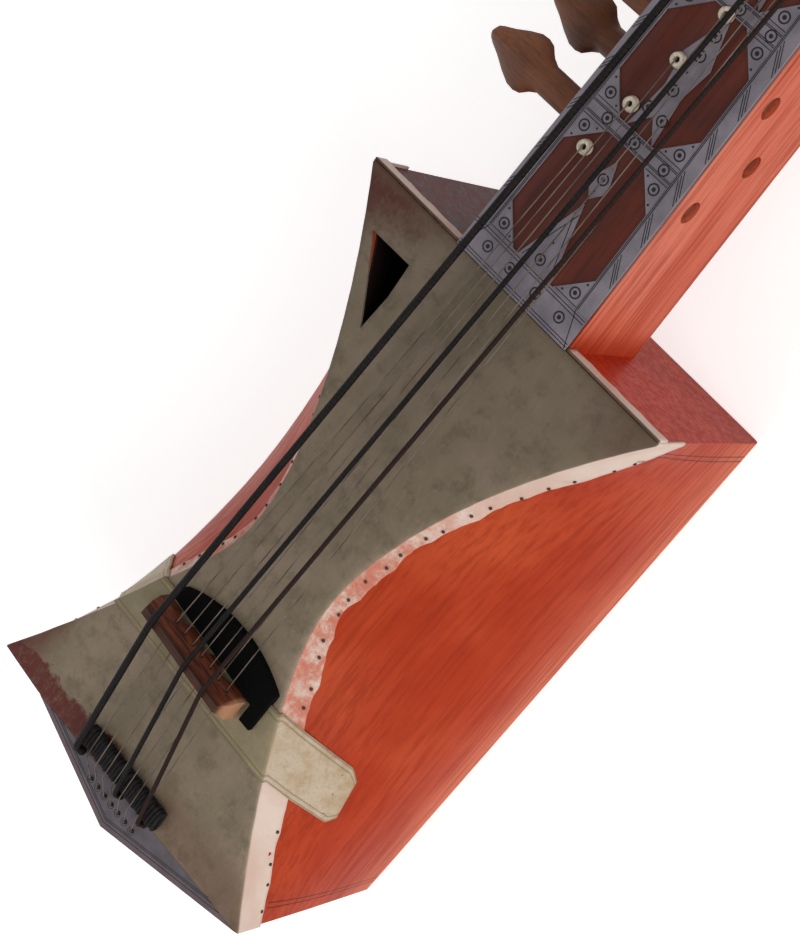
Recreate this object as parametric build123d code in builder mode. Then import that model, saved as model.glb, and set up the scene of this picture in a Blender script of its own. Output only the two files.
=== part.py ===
from build123d import *
import math
import os

os.makedirs("parts", exist_ok=True)

# A bowed folk fiddle with a skin belly. It lies on its flat back: +Y points to the head,
# +Z out of the belly, and the origin is on the back, straight under the bridge.

# Body block
rim_height = 98.8
back_half_width = 79.0
shoulder_half_width = 79.5
shoulder_y = 200.0
waist_y = 60.0
waist_right = 17.7
waist_left = 23.0
foot_right = 78.0
foot_left = 84.0
foot_right_y = -67.0
foot_left_y = -70.0
foot_point_x = 3.0
foot_point_y = -88.0
foot_corner_x = -57.0
foot_corner_y = -71.5
shoulder_trim = 2.0
upper_flare = 1.7
lower_flare_right = 1.55
lower_flare_left = 1.25
scoop_right = 2.7
scoop_left = 1.95
back_edge_radius = 2.5
body_wall = 7.0
body_floor = 12.0
shoulder_wall = 12.0
foot_wall = 12.0

# Belly skin, the strap over it and their fastenings
skin_thickness = 1.2
skin_drop_waist = 6.0
skin_drop_foot = 16.0
skin_drop_horn = 26.0
skin_drop_shoulder = 9.0
horn_curl = 4.4
sound_hole_outer_x = -62.2
sound_hole_inner_x = -40.5
sound_hole_inset = 19.0
sound_hole_length = 31.7
strap_thickness = 1.2
strap_width = 26.2
strap_end_drop = 33.0
strap_end_shift = 8.0
strap_corner = 4.0
tack_radius = 0.8
tack_head = 0.7
tack_depth = 4.0
tack_fit = 0.05
tack_count = 12
tack_rise = 2.6
strap_nail_inset = 4.0

# Neck box
neck_front_drop = 1.8
neck_depth = 61.0
neck_start_half_width = 30.5
neck_taper = 0.0275
neck_length = 218.0
neck_wall = 6.0
neck_floor = 6.0
neck_edge_radius = 4.0

# Fingerboard panel and bone inlay
panel_start_gap = 0.6
panel_thickness = 2.2
inlay_thickness = 0.8
border_width = 6.6
lower_band_width = 14.0
cross_band_width = 6.4
cell_length = 58.6
corner_width = 12.2
corner_height = 12.6
spike_half_width = 8.8
spike_height = 30.0
lozenge_half_width = 3.4
lozenge_length = 17.0
lozenge_gap = 2.5
spear_half_width = 6.5
spear_neck = 4.2
spear_notch = 8.0
figure_x = 0.8
inlay_gap = 0.1

# Wire eyelets
eyelet_first_x = -12.8
eyelet_first_rise = 60.1
eyelet_step_x = 3.9
eyelet_step_y = 22.5
eyelet_radius = 3.1
eyelet_bore = 1.0
eyelet_height = 2.8
eyelet_fit = 0.15

# Pegs
wire_count = 7
peg_first_rise = 65.4
peg_step_y = 23.0
peg_high_depth = 12.5
peg_low_depth = 32.5
peg_radius = 6.2
peg_tip_radius = 4.7
peg_running_fit = 0.05
peg_reach = 22.0
peg_head_length = 30.0
peg_head_width = 23.5
peg_head_thickness = 13.0
peg_tip_recess = 2.5

# Head and main pegs
head_half_width = 31.0
head_flare_length = 22.0
head_round_length = 94.0
head_length = 130.0
head_wall = 9.0
pegbox_start_length = 4.0
pegbox_length = 90.0
pegbox_corner = 5.0
pegbox_floor = 12.0
face_plate_thickness = 2.6
face_plate_rim = 3.0
main_peg_first_length = 37.0
main_peg_step_y = 21.0
main_peg_depth = 29.0
main_peg_radius = 7.5
main_peg_tip_radius = 6.0
main_peg_reach = 22.0
main_peg_head_length = 40.0
main_peg_head_width = 30.0
main_peg_head_thickness = 15.0
winding_width = 9.0
winding_growth = 2.4
seat_gap = 0.3

# Tail plate and tail bar
tail_plate_thickness = 1.2
tail_hole_radius = 0.9
tail_hole_y = -76.5
tail_hole_pitch = 4.85
tail_hole_middle_x = 1.2
tail_bar_start_x = -26.5
tail_bar_end_x = 24.5
tail_bar_foot_y = -67.0
tail_bar_width = 11.0
tail_bar_height = 6.0
knot_radii = [2.9, 2.1, 1.9]

# Bridge
bridge_x = -8.0
bridge_y = 3.0
bridge_skew = 4.0
bridge_height = 15.4
bridge_top_length = 50.0
bridge_base_length = 57.0
bridge_top_width = 3.0
bridge_base_width = 10.5
bridge_arch_radius = 4.0
bridge_arch_pitch = 15.0
bridge_hole_radius = 0.8
bridge_hole_height = 7.6
bridge_hole_first_x = -22.5
bridge_hole_pitch = 6.0
foot_pad_start_x = -32.0
foot_pad_end_x = 29.5
foot_pad_reach = 26.0
foot_pad_side_y = 18.5
foot_pad_thickness = 4.0
foot_pad_toe = 3.0

# Strings, nut
gut_radii = [1.5, 1.05, 0.95]
gut_tail_x = [-24.5, 2.4, 18.6]
gut_bridge_x = [-26.6, -3.7, 9.2]
gut_nut_x = [-15.6, 5.9, 17.1]
string_gap = 0.05
bridge_rest_gap = 0.25
nut_rest_inset = 0.5
wire_radius = 0.25
nut_thickness = 6.0
nut_height = 7.2
wire_bar_first_x = -18.7
wire_bar_pitch = 5.9
wire_turn_depth = 2.0

# Derived places
neck_front_z = rim_height - neck_front_drop
neck_back_z = neck_front_z - neck_depth
neck_end_y = shoulder_y + neck_length
head_flare_y = neck_end_y + head_flare_length
head_round_y = neck_end_y + head_round_length
head_top_y = neck_end_y + head_length
pegbox_start_y = neck_end_y + pegbox_start_length
pegbox_end_y = pegbox_start_y + pegbox_length
sound_hole_top_y = shoulder_y - sound_hole_inset
sound_hole_foot_y = sound_hole_top_y - sound_hole_length
panel_start_y = shoulder_y + panel_start_gap
lower_band_end_y = panel_start_y + lower_band_width
cross_band_first_y = lower_band_end_y + cell_length
eyelet_first_y = shoulder_y + eyelet_first_rise
wire_turn_z = neck_front_z - wire_turn_depth
main_peg_z = neck_front_z - main_peg_depth
skin_top = rim_height + skin_thickness
strap_top = skin_top + strap_thickness
panel_top = neck_front_z + panel_thickness
inlay_top = panel_top + inlay_thickness
bridge_top = strap_top + bridge_height
tail_bar_top = skin_top + tail_bar_height
nut_top = panel_top + nut_height
nut_y = neck_end_y - nut_thickness / 2
skew = math.radians(bridge_skew)
bore_y = [shoulder_y + peg_first_rise + peg_step_y * step for step in range(wire_count)]
bore_depth = [peg_low_depth if step % 2 else peg_high_depth for step in range(wire_count)]
bore_z = [neck_front_z - depth for depth in bore_depth]
main_y = [neck_end_y + main_peg_first_length + main_peg_step_y * step for step in range(3)]
main_side = [-1, 1, -1]
main_string = [0, 2, 1]
cell_start_y = [lower_band_end_y]
cell_start_y += [cross_band_first_y + cell_length * step + cross_band_width / 2 for step in range(3)]


def neck_half_width(y):
    return neck_start_half_width - neck_taper * (y - shoulder_y)


def front_half_width(y, waist, foot, foot_y, lower_flare):
    if y >= waist_y:
        share = (y - waist_y) / (shoulder_y - waist_y)
        return waist + (shoulder_half_width - waist) * share**upper_flare
    share = (waist_y - y) / (waist_y - foot_y)
    return waist + (foot - waist) * share**lower_flare


def right_side(y, z):
    front = front_half_width(y, waist_right, foot_right, foot_right_y, lower_flare_right)
    return back_half_width - (back_half_width - front) * (z / rim_height) ** scoop_right


def left_side(y, z):
    front = front_half_width(y, waist_left, foot_left, foot_left_y, lower_flare_left)
    return back_half_width - (back_half_width - front) * (z / rim_height) ** scoop_left


def stations(first, last, count):
    return [first + (last - first) * step / (count - 1) for step in range(count)]


def side_profile(z, grow, top_y, right_foot_y, left_foot_y):
    """Closed outline of the waisted body at height z, its two long sides moved out by grow."""
    width_z = min(z, rim_height)
    right = [(right_side(y, width_z) + grow, y) for y in stations(top_y, right_foot_y, 10)]
    left = [(-left_side(y, width_z) - grow, y) for y in stations(top_y, left_foot_y, 10)]
    Spline(*right)
    Spline(*left)
    Line(right[0], left[0])
    return right[-1], left[-1]


def body_section(z, grow):
    with BuildSketch(Plane.XY.offset(z)) as section:
        with BuildLine():
            rough_top = shoulder_y + shoulder_trim
            right_end, left_end = side_profile(z, grow, rough_top, foot_right_y, foot_left_y)
            Line(right_end, (foot_point_x, foot_point_y))
            Line((foot_point_x, foot_point_y), (foot_corner_x, foot_corner_y))
            Line((foot_corner_x, foot_corner_y), left_end)
        make_face()
    return section.sketch


levels = [0.0, 0.3, 0.5, 0.65, 0.8, 0.9, 1.0]


def skin_drop(y):
    """How far down the side the folded skin reaches at y."""
    if y >= waist_y:
        share = (y - waist_y) / (shoulder_y - waist_y)
        return skin_drop_waist + (skin_drop_horn - skin_drop_waist) * share**horn_curl
    share = (waist_y - y) / (waist_y - foot_right_y)
    return skin_drop_waist + (skin_drop_foot - skin_drop_waist) * share


def side_plane(side, y, z):
    """Plane on the wooden side at (y, z), its normal pointing out of the wood."""
    half_width = right_side if side > 0 else left_side
    slope_y = half_width(y + 0.5, z) - half_width(y - 0.5, z)
    slope_z = half_width(y, z + 0.5) - half_width(y, z - 0.5)
    return Plane(origin=(side * half_width(y, z), y, z), z_dir=(side, -slope_y, -slope_z))


def cover_section(z, grow, top_y):
    with BuildSketch(Plane.XY.offset(z)) as section:
        with BuildLine():
            right_end, left_end = side_profile(z, grow, top_y, foot_right_y, foot_left_y)
            Line(right_end, (foot_corner_x, foot_corner_y))
            Line((foot_corner_x, foot_corner_y), left_end)
        make_face()
    return section.sketch


def rod(start, end, radius):
    """Straight round rod with a rounded start, so that rods in a row join."""
    way = Vector(*end) - Vector(*start)
    with BuildSketch(Plane(origin=start, z_dir=way)) as end_face:
        Circle(radius)
    extrude(end_face.sketch, amount=way.length)
    with Locations(start):
        Sphere(radius)


def taut_line(points, radius):
    for start, end in zip(points, points[1:]):
        rod(start, end, radius)


def bridge_line_y(x):
    return bridge_y - (x - bridge_x) * math.tan(skew)


cover_levels = [0.55, 0.65, 0.75, 0.85, 0.93, 1.0]

tack_planes = []
for tack_y in stations(shoulder_y - 14, foot_right_y + 6, tack_count):
    for side in (-1, 1):
        tack_z = skin_top - skin_drop(tack_y) + tack_rise
        if abs(tack_y) > strap_width / 2 + strap_end_shift + 2:
            tack_planes.append(side_plane(side, tack_y, tack_z))

nail_planes = []
strap_low = skin_top - strap_end_drop
for side in (-1, 1):
    for nail_y in (-strap_width / 2 + strap_nail_inset, 0, strap_width / 2 - strap_nail_inset):
        nail_z = strap_low + strap_nail_inset + 2
        nail_planes.append(side_plane(side, nail_y - strap_end_shift, nail_z))


def tacks(planes, extra_radius, stand_out):
    for plane in planes:
        with BuildSketch(plane.offset(-tack_depth)) as tack_foot:
            Circle(tack_radius + extra_radius)
        extrude(tack_foot.sketch, amount=tack_depth + stand_out)


with BuildPart() as skin_tacks:
    tacks(tack_planes, 0.0, skin_thickness + tack_head)
skin_tacks.part.label = "skin_tacks"
export_step(skin_tacks.part, "parts/skin_tacks.step")

with BuildPart() as strap_nails:
    tacks(nail_planes, 0.0, skin_thickness + strap_thickness + tack_head)
strap_nails.part.label = "strap_nails"
export_step(strap_nails.part, "parts/strap_nails.step")

with BuildPart() as nail_holes:
    tacks(tack_planes + nail_planes, tack_fit, 2 * skin_thickness + 2 * strap_thickness)

# The block: waisted belly shell, neck box and head, carved from one piece
with BuildPart() as outer_block:
    for level in levels:
        add(body_section(rim_height * level, 0.0))
    loft()
    split(bisect_by=Plane(origin=(0, shoulder_y, 0), z_dir=(0, 1, 0)), keep=Keep.BOTTOM)

with BuildPart() as body_block:
    add(outer_block.part)
    back_rim = body_block.edges().filter_by_position(Axis.Z, -0.1, 0.1)
    fillet(back_rim.sort_by(SortBy.LENGTH)[-2:], radius=back_edge_radius)
    with BuildSketch(Plane.XY.offset(body_floor)):
        with BuildLine():
            cavity_top = shoulder_y - shoulder_wall
            cavity_foot = foot_right_y + foot_wall
            ends = side_profile(rim_height, -body_wall, cavity_top, cavity_foot, cavity_foot)
            Line(*ends)
        make_face()
    extrude(amount=rim_height, mode=Mode.SUBTRACT)
    with BuildSketch(Plane.XY.offset(neck_back_z)):
        with BuildLine():
            start_y = shoulder_y - shoulder_wall / 2
            Polyline(
                (neck_half_width(shoulder_y), start_y),
                (neck_half_width(shoulder_y), shoulder_y),
                (neck_half_width(neck_end_y), neck_end_y),
                (-neck_half_width(neck_end_y), neck_end_y),
                (-neck_half_width(shoulder_y), shoulder_y),
                (-neck_half_width(shoulder_y), start_y),
                close=True,
            )
        make_face()
    extrude(amount=neck_front_z - neck_back_z)
    with BuildSketch(Plane.XY.offset(neck_back_z)):
        with BuildLine():
            Polyline(
                (-neck_half_width(neck_end_y), neck_end_y),
                (neck_half_width(neck_end_y), neck_end_y),
                (head_half_width, head_flare_y),
                (head_half_width, head_round_y),
            )
            ThreePointArc(
                (head_half_width, head_round_y), (0, head_top_y), (-head_half_width, head_round_y)
            )
            Polyline(
                (-head_half_width, head_round_y),
                (-head_half_width, head_flare_y),
                (-neck_half_width(neck_end_y), neck_end_y),
            )
        make_face()
    extrude(amount=neck_front_z - neck_back_z)
    neck_back = [
        edge
        for edge in body_block.edges().filter_by_position(Axis.Z, neck_back_z - 0.1, neck_back_z + 0.1)
        if edge.center().Y > shoulder_y + 1
    ]
    fillet(neck_back, radius=neck_edge_radius)
    with BuildSketch(Plane.XY.offset(neck_back_z + neck_floor)):
        with BuildLine():
            Polyline(
                (neck_half_width(shoulder_y) - neck_wall, shoulder_y + shoulder_wall),
                (neck_half_width(neck_end_y) - neck_wall, neck_end_y - neck_wall),
                (-neck_half_width(neck_end_y) + neck_wall, neck_end_y - neck_wall),
                (-neck_half_width(shoulder_y) + neck_wall, shoulder_y + shoulder_wall),
                close=True,
            )
        make_face()
    extrude(amount=neck_front_z, mode=Mode.SUBTRACT)
    with BuildSketch(Plane.XY.offset(neck_back_z + pegbox_floor)):
        with Locations((0, (pegbox_start_y + pegbox_end_y) / 2)):
            RectangleRounded(
                2 * (head_half_width - head_wall), pegbox_end_y - pegbox_start_y, pegbox_corner
            )
    extrude(amount=neck_front_z, mode=Mode.SUBTRACT)
    for peg_y, peg_z in zip(bore_y, bore_z):
        reach = neck_half_width(peg_y)
        with BuildSketch(Plane.YZ.offset(-reach - neck_wall)):
            with Locations((peg_y, peg_z)):
                Circle(peg_radius + peg_running_fit)
        extrude(amount=3 * neck_wall, mode=Mode.SUBTRACT)
        with BuildSketch(Plane.YZ.offset(reach - 2 * neck_wall)):
            with Locations((peg_y, peg_z)):
                Circle(peg_tip_radius + peg_running_fit)
        extrude(amount=3 * neck_wall, mode=Mode.SUBTRACT)
    for peg_y, side in zip(main_y, main_side):
        near = Plane(origin=(side * (head_half_width + 1), 0, 0), x_dir=(0, 1, 0), z_dir=(-side, 0, 0))
        with BuildSketch(near):
            with Locations((peg_y, -side * main_peg_z)):
                Circle(main_peg_radius + peg_running_fit)
        extrude(amount=head_wall + 2, mode=Mode.SUBTRACT)
        with BuildSketch(near.offset(head_half_width)):
            with Locations((peg_y, -side * main_peg_z)):
                Circle(main_peg_tip_radius + peg_running_fit)
        extrude(amount=head_half_width + 2, mode=Mode.SUBTRACT)
    add(nail_holes.part, mode=Mode.SUBTRACT)
body_block.part.label = "body_block"
export_step(body_block.part, "parts/body_block.step")

# Belly skin: a stretched sheet folded down over the rim, with a triangular sound hole
with BuildPart() as skin_outer:
    for level in cover_levels:
        add(cover_section(rim_height * level, skin_thickness, shoulder_y + skin_thickness))
    loft()
    add(cover_section(rim_height, skin_thickness, shoulder_y + skin_thickness))
    extrude(amount=skin_thickness)

with BuildPart() as skin_reach:
    with BuildSketch(Plane.YZ.offset(-2 * back_half_width)):
        with BuildLine():
            fold_end = [(y, skin_top - skin_drop(y)) for y in stations(shoulder_y, foot_left_y - 5, 9)]
            Spline(*fold_end)
            Polyline(
                fold_end[-1],
                (fold_end[-1][0], strap_top),
                (shoulder_y + 2 * skin_thickness, strap_top),
                (shoulder_y + 2 * skin_thickness, skin_top - skin_drop_shoulder),
                (shoulder_y, skin_top - skin_drop_shoulder),
                fold_end[0],
            )
        make_face()
    extrude(amount=4 * back_half_width)

with BuildPart() as belly_skin:
    add(skin_outer.part)
    add(skin_reach.part, mode=Mode.INTERSECT)
    add(outer_block.part, mode=Mode.SUBTRACT)
    with BuildSketch(Plane.XY.offset(rim_height - skin_drop_horn)):
        with Locations((0, shoulder_y + 2 * skin_thickness)):
            Rectangle(2 * neck_start_half_width + 0.2, 4 * skin_thickness)
    extrude(amount=2 * skin_drop_horn, mode=Mode.SUBTRACT)
    with BuildSketch(Plane.XY.offset(rim_height - skin_thickness)):
        with BuildLine():
            Polyline(
                (sound_hole_outer_x, sound_hole_top_y),
                (sound_hole_inner_x, sound_hole_top_y),
                (sound_hole_inner_x, sound_hole_foot_y),
                close=True,
            )
        make_face()
    extrude(amount=3 * skin_thickness, mode=Mode.SUBTRACT)
    add(nail_holes.part, mode=Mode.SUBTRACT)
belly_skin.part.label = "belly_skin"
export_step(belly_skin.part, "parts/belly_skin.step")

# Strap across the belly, under the bridge, nailed down on both sides
with BuildPart() as strap_outer:
    for level in cover_levels:
        add(cover_section(rim_height * level, skin_thickness + strap_thickness, shoulder_y))
    loft()
    add(cover_section(rim_height, skin_thickness + strap_thickness, shoulder_y))
    extrude(amount=skin_thickness + strap_thickness)

with BuildPart() as skin_strap:
    with BuildSketch(Plane.YZ.offset(-2 * back_half_width)):
        half = strap_width / 2
        with BuildLine():
            Polyline(
                (half, strap_top + 1),
                (half, skin_top - strap_corner),
                (half - strap_end_shift, strap_low + strap_corner),
                (half - strap_end_shift - strap_corner, strap_low),
                (-half - strap_end_shift + strap_corner, strap_low),
                (-half - strap_end_shift, strap_low + strap_corner),
                (-half, skin_top - strap_corner),
                (-half, strap_top + 1),
                close=True,
            )
        make_face()
    extrude(amount=4 * back_half_width)
    add(strap_outer.part, mode=Mode.INTERSECT)
    add(outer_block.part, mode=Mode.SUBTRACT)
    add(belly_skin.part, mode=Mode.SUBTRACT)
    add(nail_holes.part, mode=Mode.SUBTRACT)
skin_strap.part.label = "skin_strap"
export_step(skin_strap.part, "parts/skin_strap.step")

# Fingerboard panel: dark wood closing the neck box, bored for the wires
eyelet_spots = [
    (eyelet_first_x + eyelet_step_x * step, eyelet_first_y + eyelet_step_y * step)
    for step in range(wire_count)
]
panel_end_y = neck_end_y - nut_thickness
with BuildPart() as fingerboard_panel:
    with BuildSketch(Plane.XY.offset(neck_front_z)):
        with BuildLine():
            Polyline(
                (neck_half_width(panel_start_y), panel_start_y),
                (neck_half_width(panel_end_y), panel_end_y),
                (-neck_half_width(panel_end_y), panel_end_y),
                (-neck_half_width(panel_start_y), panel_start_y),
                close=True,
            )
        make_face()
        with Locations(*eyelet_spots):
            Circle(eyelet_bore, mode=Mode.SUBTRACT)
    extrude(amount=panel_thickness)
fingerboard_panel.part.label = "fingerboard_panel"
export_step(fingerboard_panel.part, "parts/fingerboard_panel.step")

with BuildPart() as eyelet_seats:
    with BuildSketch(Plane.XY.offset(panel_top)):
        with Locations(*eyelet_spots):
            Circle(eyelet_radius + eyelet_fit)
    extrude(amount=eyelet_height)


def inlay_piece(*corners):
    with BuildSketch(Plane.XY.offset(panel_top)) as outline:
        with BuildLine():
            Polyline(*corners, close=True)
        make_face()
    extrude(outline.sketch, amount=inlay_thickness)


def border_inner(y):
    return neck_half_width(y) - border_width


# Bone inlay: the lower band, the two side borders and the bands that cross the neck
with BuildPart() as inlay_lower_band:
    inlay_piece(
        (neck_half_width(panel_start_y), panel_start_y),
        (neck_half_width(lower_band_end_y), lower_band_end_y),
        (-neck_half_width(lower_band_end_y), lower_band_end_y),
        (-neck_half_width(panel_start_y), panel_start_y),
    )
inlay_lower_band.part.label = "inlay_lower_band"
export_step(inlay_lower_band.part, "parts/inlay_lower_band.step")

border_start_y = lower_band_end_y + inlay_gap
with BuildPart() as inlay_borders:
    for side in (-1, 1):
        inlay_piece(
            (side * neck_half_width(border_start_y), border_start_y),
            (side * neck_half_width(panel_end_y), panel_end_y),
            (side * border_inner(panel_end_y), panel_end_y),
            (side * border_inner(border_start_y), border_start_y),
        )
inlay_borders.part.label = "inlay_borders"
export_step(inlay_borders.part, "parts/inlay_borders.step")

cross_band_y = [cross_band_first_y + cell_length * step for step in range(3)]
with BuildPart() as inlay_cross_bands:
    for band_y in cross_band_y:
        low_y = band_y - cross_band_width / 2
        high_y = band_y + cross_band_width / 2
        inlay_piece(
            (border_inner(low_y) - inlay_gap, low_y),
            (border_inner(high_y) - inlay_gap, high_y),
            (-border_inner(high_y) + inlay_gap, high_y),
            (-border_inner(low_y) + inlay_gap, low_y),
        )
    add(eyelet_seats.part, mode=Mode.SUBTRACT)
inlay_cross_bands.part.label = "inlay_cross_bands"
export_step(inlay_cross_bands.part, "parts/inlay_cross_bands.step")

# Corner triangles of every cell
with BuildPart() as inlay_corners:
    for start_y, band_y in zip(cell_start_y, cross_band_y):
        low_y = start_y + inlay_gap
        high_y = band_y - cross_band_width / 2 - inlay_gap
        for side in (-1, 1):
            low_x = border_inner(low_y) - inlay_gap
            high_x = border_inner(high_y) - inlay_gap
            inlay_piece(
                (side * low_x, low_y),
                (side * (border_inner(low_y + corner_height) - inlay_gap), low_y + corner_height),
                (side * (low_x - corner_width), low_y),
            )
            inlay_piece(
                (side * high_x, high_y),
                (side * (border_inner(high_y - corner_height) - inlay_gap), high_y - corner_height),
                (side * (high_x - corner_width), high_y),
            )
    add(eyelet_seats.part, mode=Mode.SUBTRACT)
inlay_corners.part.label = "inlay_corners"
export_step(inlay_corners.part, "parts/inlay_corners.step")

# Centre figures: a tapering spike and a lozenge in the lowest cell, spears in the others
spike_foot_y = lower_band_end_y + inlay_gap
lozenge_foot_y = spike_foot_y + spike_height + lozenge_gap
with BuildPart() as inlay_spike:
    inlay_piece(
        (figure_x - spike_half_width, spike_foot_y),
        (figure_x + spike_half_width, spike_foot_y),
        (figure_x, spike_foot_y + spike_height),
    )
inlay_spike.part.label = "inlay_spike"
export_step(inlay_spike.part, "parts/inlay_spike.step")

with BuildPart() as inlay_lozenge:
    inlay_piece(
        (figure_x, lozenge_foot_y),
        (figure_x + lozenge_half_width, lozenge_foot_y + lozenge_length / 4),
        (figure_x + lozenge_half_width, lozenge_foot_y + lozenge_length / 2),
        (figure_x, lozenge_foot_y + lozenge_length),
        (figure_x - lozenge_half_width, lozenge_foot_y + lozenge_length / 2),
        (figure_x - lozenge_half_width, lozenge_foot_y + lozenge_length / 4),
    )
    add(eyelet_seats.part, mode=Mode.SUBTRACT)
inlay_lozenge.part.label = "inlay_lozenge"
export_step(inlay_lozenge.part, "parts/inlay_lozenge.step")

with BuildPart() as inlay_spears:
    for start_y, band_y in zip(cell_start_y[1:], cross_band_y[1:]):
        low_y = start_y + 2 * inlay_gap
        high_y = band_y - cross_band_width / 2 - 2 * inlay_gap
        middle_y = (low_y + high_y) / 2
        quarter = (high_y - low_y) / 4
        inlay_piece(
            (figure_x - spear_half_width, low_y),
            (figure_x, low_y + spear_notch),
            (figure_x + spear_half_width, low_y),
            (figure_x + spear_neck, middle_y - quarter / 2),
            (figure_x + spear_half_width, middle_y + quarter / 2),
            (figure_x + spear_neck, high_y - quarter),
            (figure_x, high_y),
            (figure_x - spear_neck, high_y - quarter),
            (figure_x - spear_half_width, middle_y + quarter / 2),
            (figure_x - spear_neck, middle_y - quarter / 2),
        )
    add(eyelet_seats.part, mode=Mode.SUBTRACT)
inlay_spears.part.label = "inlay_spears"
export_step(inlay_spears.part, "parts/inlay_spears.step")

# Bone eyelets that lead the wires into the neck
with BuildPart() as wire_eyelets:
    with BuildSketch(Plane.XY.offset(panel_top)):
        with Locations(*eyelet_spots):
            Circle(eyelet_radius)
            Circle(eyelet_bore, mode=Mode.SUBTRACT)
    extrude(amount=eyelet_height)
wire_eyelets.part.label = "wire_eyelets"
export_step(wire_eyelets.part, "parts/wire_eyelets.step")

# Nut at the top of the fingerboard
with BuildPart() as nut:
    with BuildSketch(Plane.XY.offset(neck_front_z)):
        with Locations((0, nut_y)):
            Rectangle(2 * neck_half_width(neck_end_y), nut_thickness)
    extrude(amount=nut_top - neck_front_z)
    fillet(nut.faces().sort_by(Axis.Z)[-1].edges().filter_by(Axis.X), radius=nut_thickness / 3)
nut.part.label = "nut"
export_step(nut.part, "parts/nut.step")

# Face plate round the pegbox
with BuildPart() as head_face_plate:
    with BuildSketch(Plane.XY.offset(neck_front_z)):
        with BuildLine():
            plate_start_y = neck_end_y + inlay_gap
            Polyline(
                (-neck_half_width(neck_end_y), plate_start_y),
                (neck_half_width(neck_end_y), plate_start_y),
                (head_half_width, head_flare_y),
                (head_half_width, head_round_y),
            )
            ThreePointArc(
                (head_half_width, head_round_y), (0, head_top_y), (-head_half_width, head_round_y)
            )
            Polyline(
                (-head_half_width, head_round_y),
                (-head_half_width, head_flare_y),
                (-neck_half_width(neck_end_y), plate_start_y),
            )
        make_face()
        with Locations((0, (pegbox_start_y + pegbox_end_y) / 2)):
            RectangleRounded(
                2 * (head_half_width - head_wall),
                pegbox_end_y - pegbox_start_y,
                pegbox_corner,
                mode=Mode.SUBTRACT,
            )
    extrude(amount=face_plate_thickness)
head_face_plate.part.label = "head_face_plate"
export_step(head_face_plate.part, "parts/head_face_plate.step")


def paddle(side, shoulder_x, y, z, length, width, thickness, neck_radius):
    """Spade-shaped peg head lying flat in the XY plane, its tip away from the neck."""
    with BuildSketch(Plane.XY.offset(z - thickness / 2)) as blade:
        with BuildLine():
            Polyline(
                (side * shoulder_x, y + neck_radius * 0.9),
                (side * (shoulder_x + 0.2 * length), y + width / 2),
                (side * (shoulder_x + 0.42 * length), y + width / 2),
                (side * (shoulder_x + length), y + width / 7),
                (side * (shoulder_x + length), y - width / 7),
                (side * (shoulder_x + 0.42 * length), y - width / 2),
                (side * (shoulder_x + 0.2 * length), y - width / 2),
                (side * shoulder_x, y - neck_radius * 0.9),
                close=True,
            )
        make_face()
        fillet(blade.vertices(), radius=width / 12)
    extrude(blade.sketch, amount=thickness)


def side_peg_radius(x, y):
    """Radius of a side peg's tapered shaft at x inside the neck box."""
    inner = neck_half_width(y) - neck_wall - 2
    share = (x + inner) / (2 * inner)
    return peg_radius + (peg_tip_radius - peg_radius) * share


def peg_solid(side, y, z, sizes):
    """Tapered peg along X: sizes are reach, box wall, half width, radii and head sizes."""
    reach, wall, half_width, radius, tip_radius, recess, head = sizes
    inner = half_width - wall - 2
    with BuildSketch(Plane.XZ.offset(-y)) as half_profile:
        with BuildLine():
            Polyline(
                (side * (half_width + reach), z),
                (side * (half_width + reach), z + radius),
                (side * inner, z + radius),
                (-side * inner, z + tip_radius),
                (-side * (half_width - recess), z + tip_radius),
                (-side * (half_width - recess), z),
                close=True,
            )
        make_face()
    revolve(half_profile.sketch, axis=Axis((0, y, z), (1, 0, 0)))
    length, width, thickness = head
    paddle(side, half_width + reach - 1, y, z, length, width, thickness, radius)


# Seven side pegs, turned from the left, their tips seen in the right wall
side_head = (peg_head_length, peg_head_width, peg_head_thickness)
for number, (peg_y, peg_z) in enumerate(zip(bore_y, bore_z), 1):
    half_width = neck_half_width(peg_y)
    sizes = (peg_reach, neck_wall, half_width, peg_radius, peg_tip_radius, peg_tip_recess, side_head)
    with BuildPart() as side_peg:
        peg_solid(-1, peg_y, peg_z, sizes)
    side_peg.part.label = f"side_peg_{number}"
    export_step(side_peg.part, f"parts/side_peg_{number}.step")

# Three main pegs in the head, with the gut wound on them
main_head = (main_peg_head_length, main_peg_head_width, main_peg_head_thickness)
for number, (peg_y, side, string) in enumerate(zip(main_y, main_side, main_string), 1):
    sizes = (
        main_peg_reach,
        head_wall,
        head_half_width,
        main_peg_radius,
        main_peg_tip_radius,
        peg_tip_recess,
        main_head,
    )
    with BuildPart() as main_peg:
        peg_solid(side, peg_y, main_peg_z, sizes)
    main_peg.part.label = f"main_peg_{number}"
    export_step(main_peg.part, f"parts/main_peg_{number}.step")
    with BuildPart() as winding:
        with BuildSketch(Plane.YZ.offset(gut_nut_x[string] - winding_width / 2)):
            with Locations((peg_y, main_peg_z)):
                Circle(main_peg_radius + winding_growth)
        extrude(amount=winding_width)
        add(main_peg.part, mode=Mode.SUBTRACT)
    winding.part.label = f"gut_winding_{number}"
    export_step(winding.part, f"parts/gut_winding_{number}.step")

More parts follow.
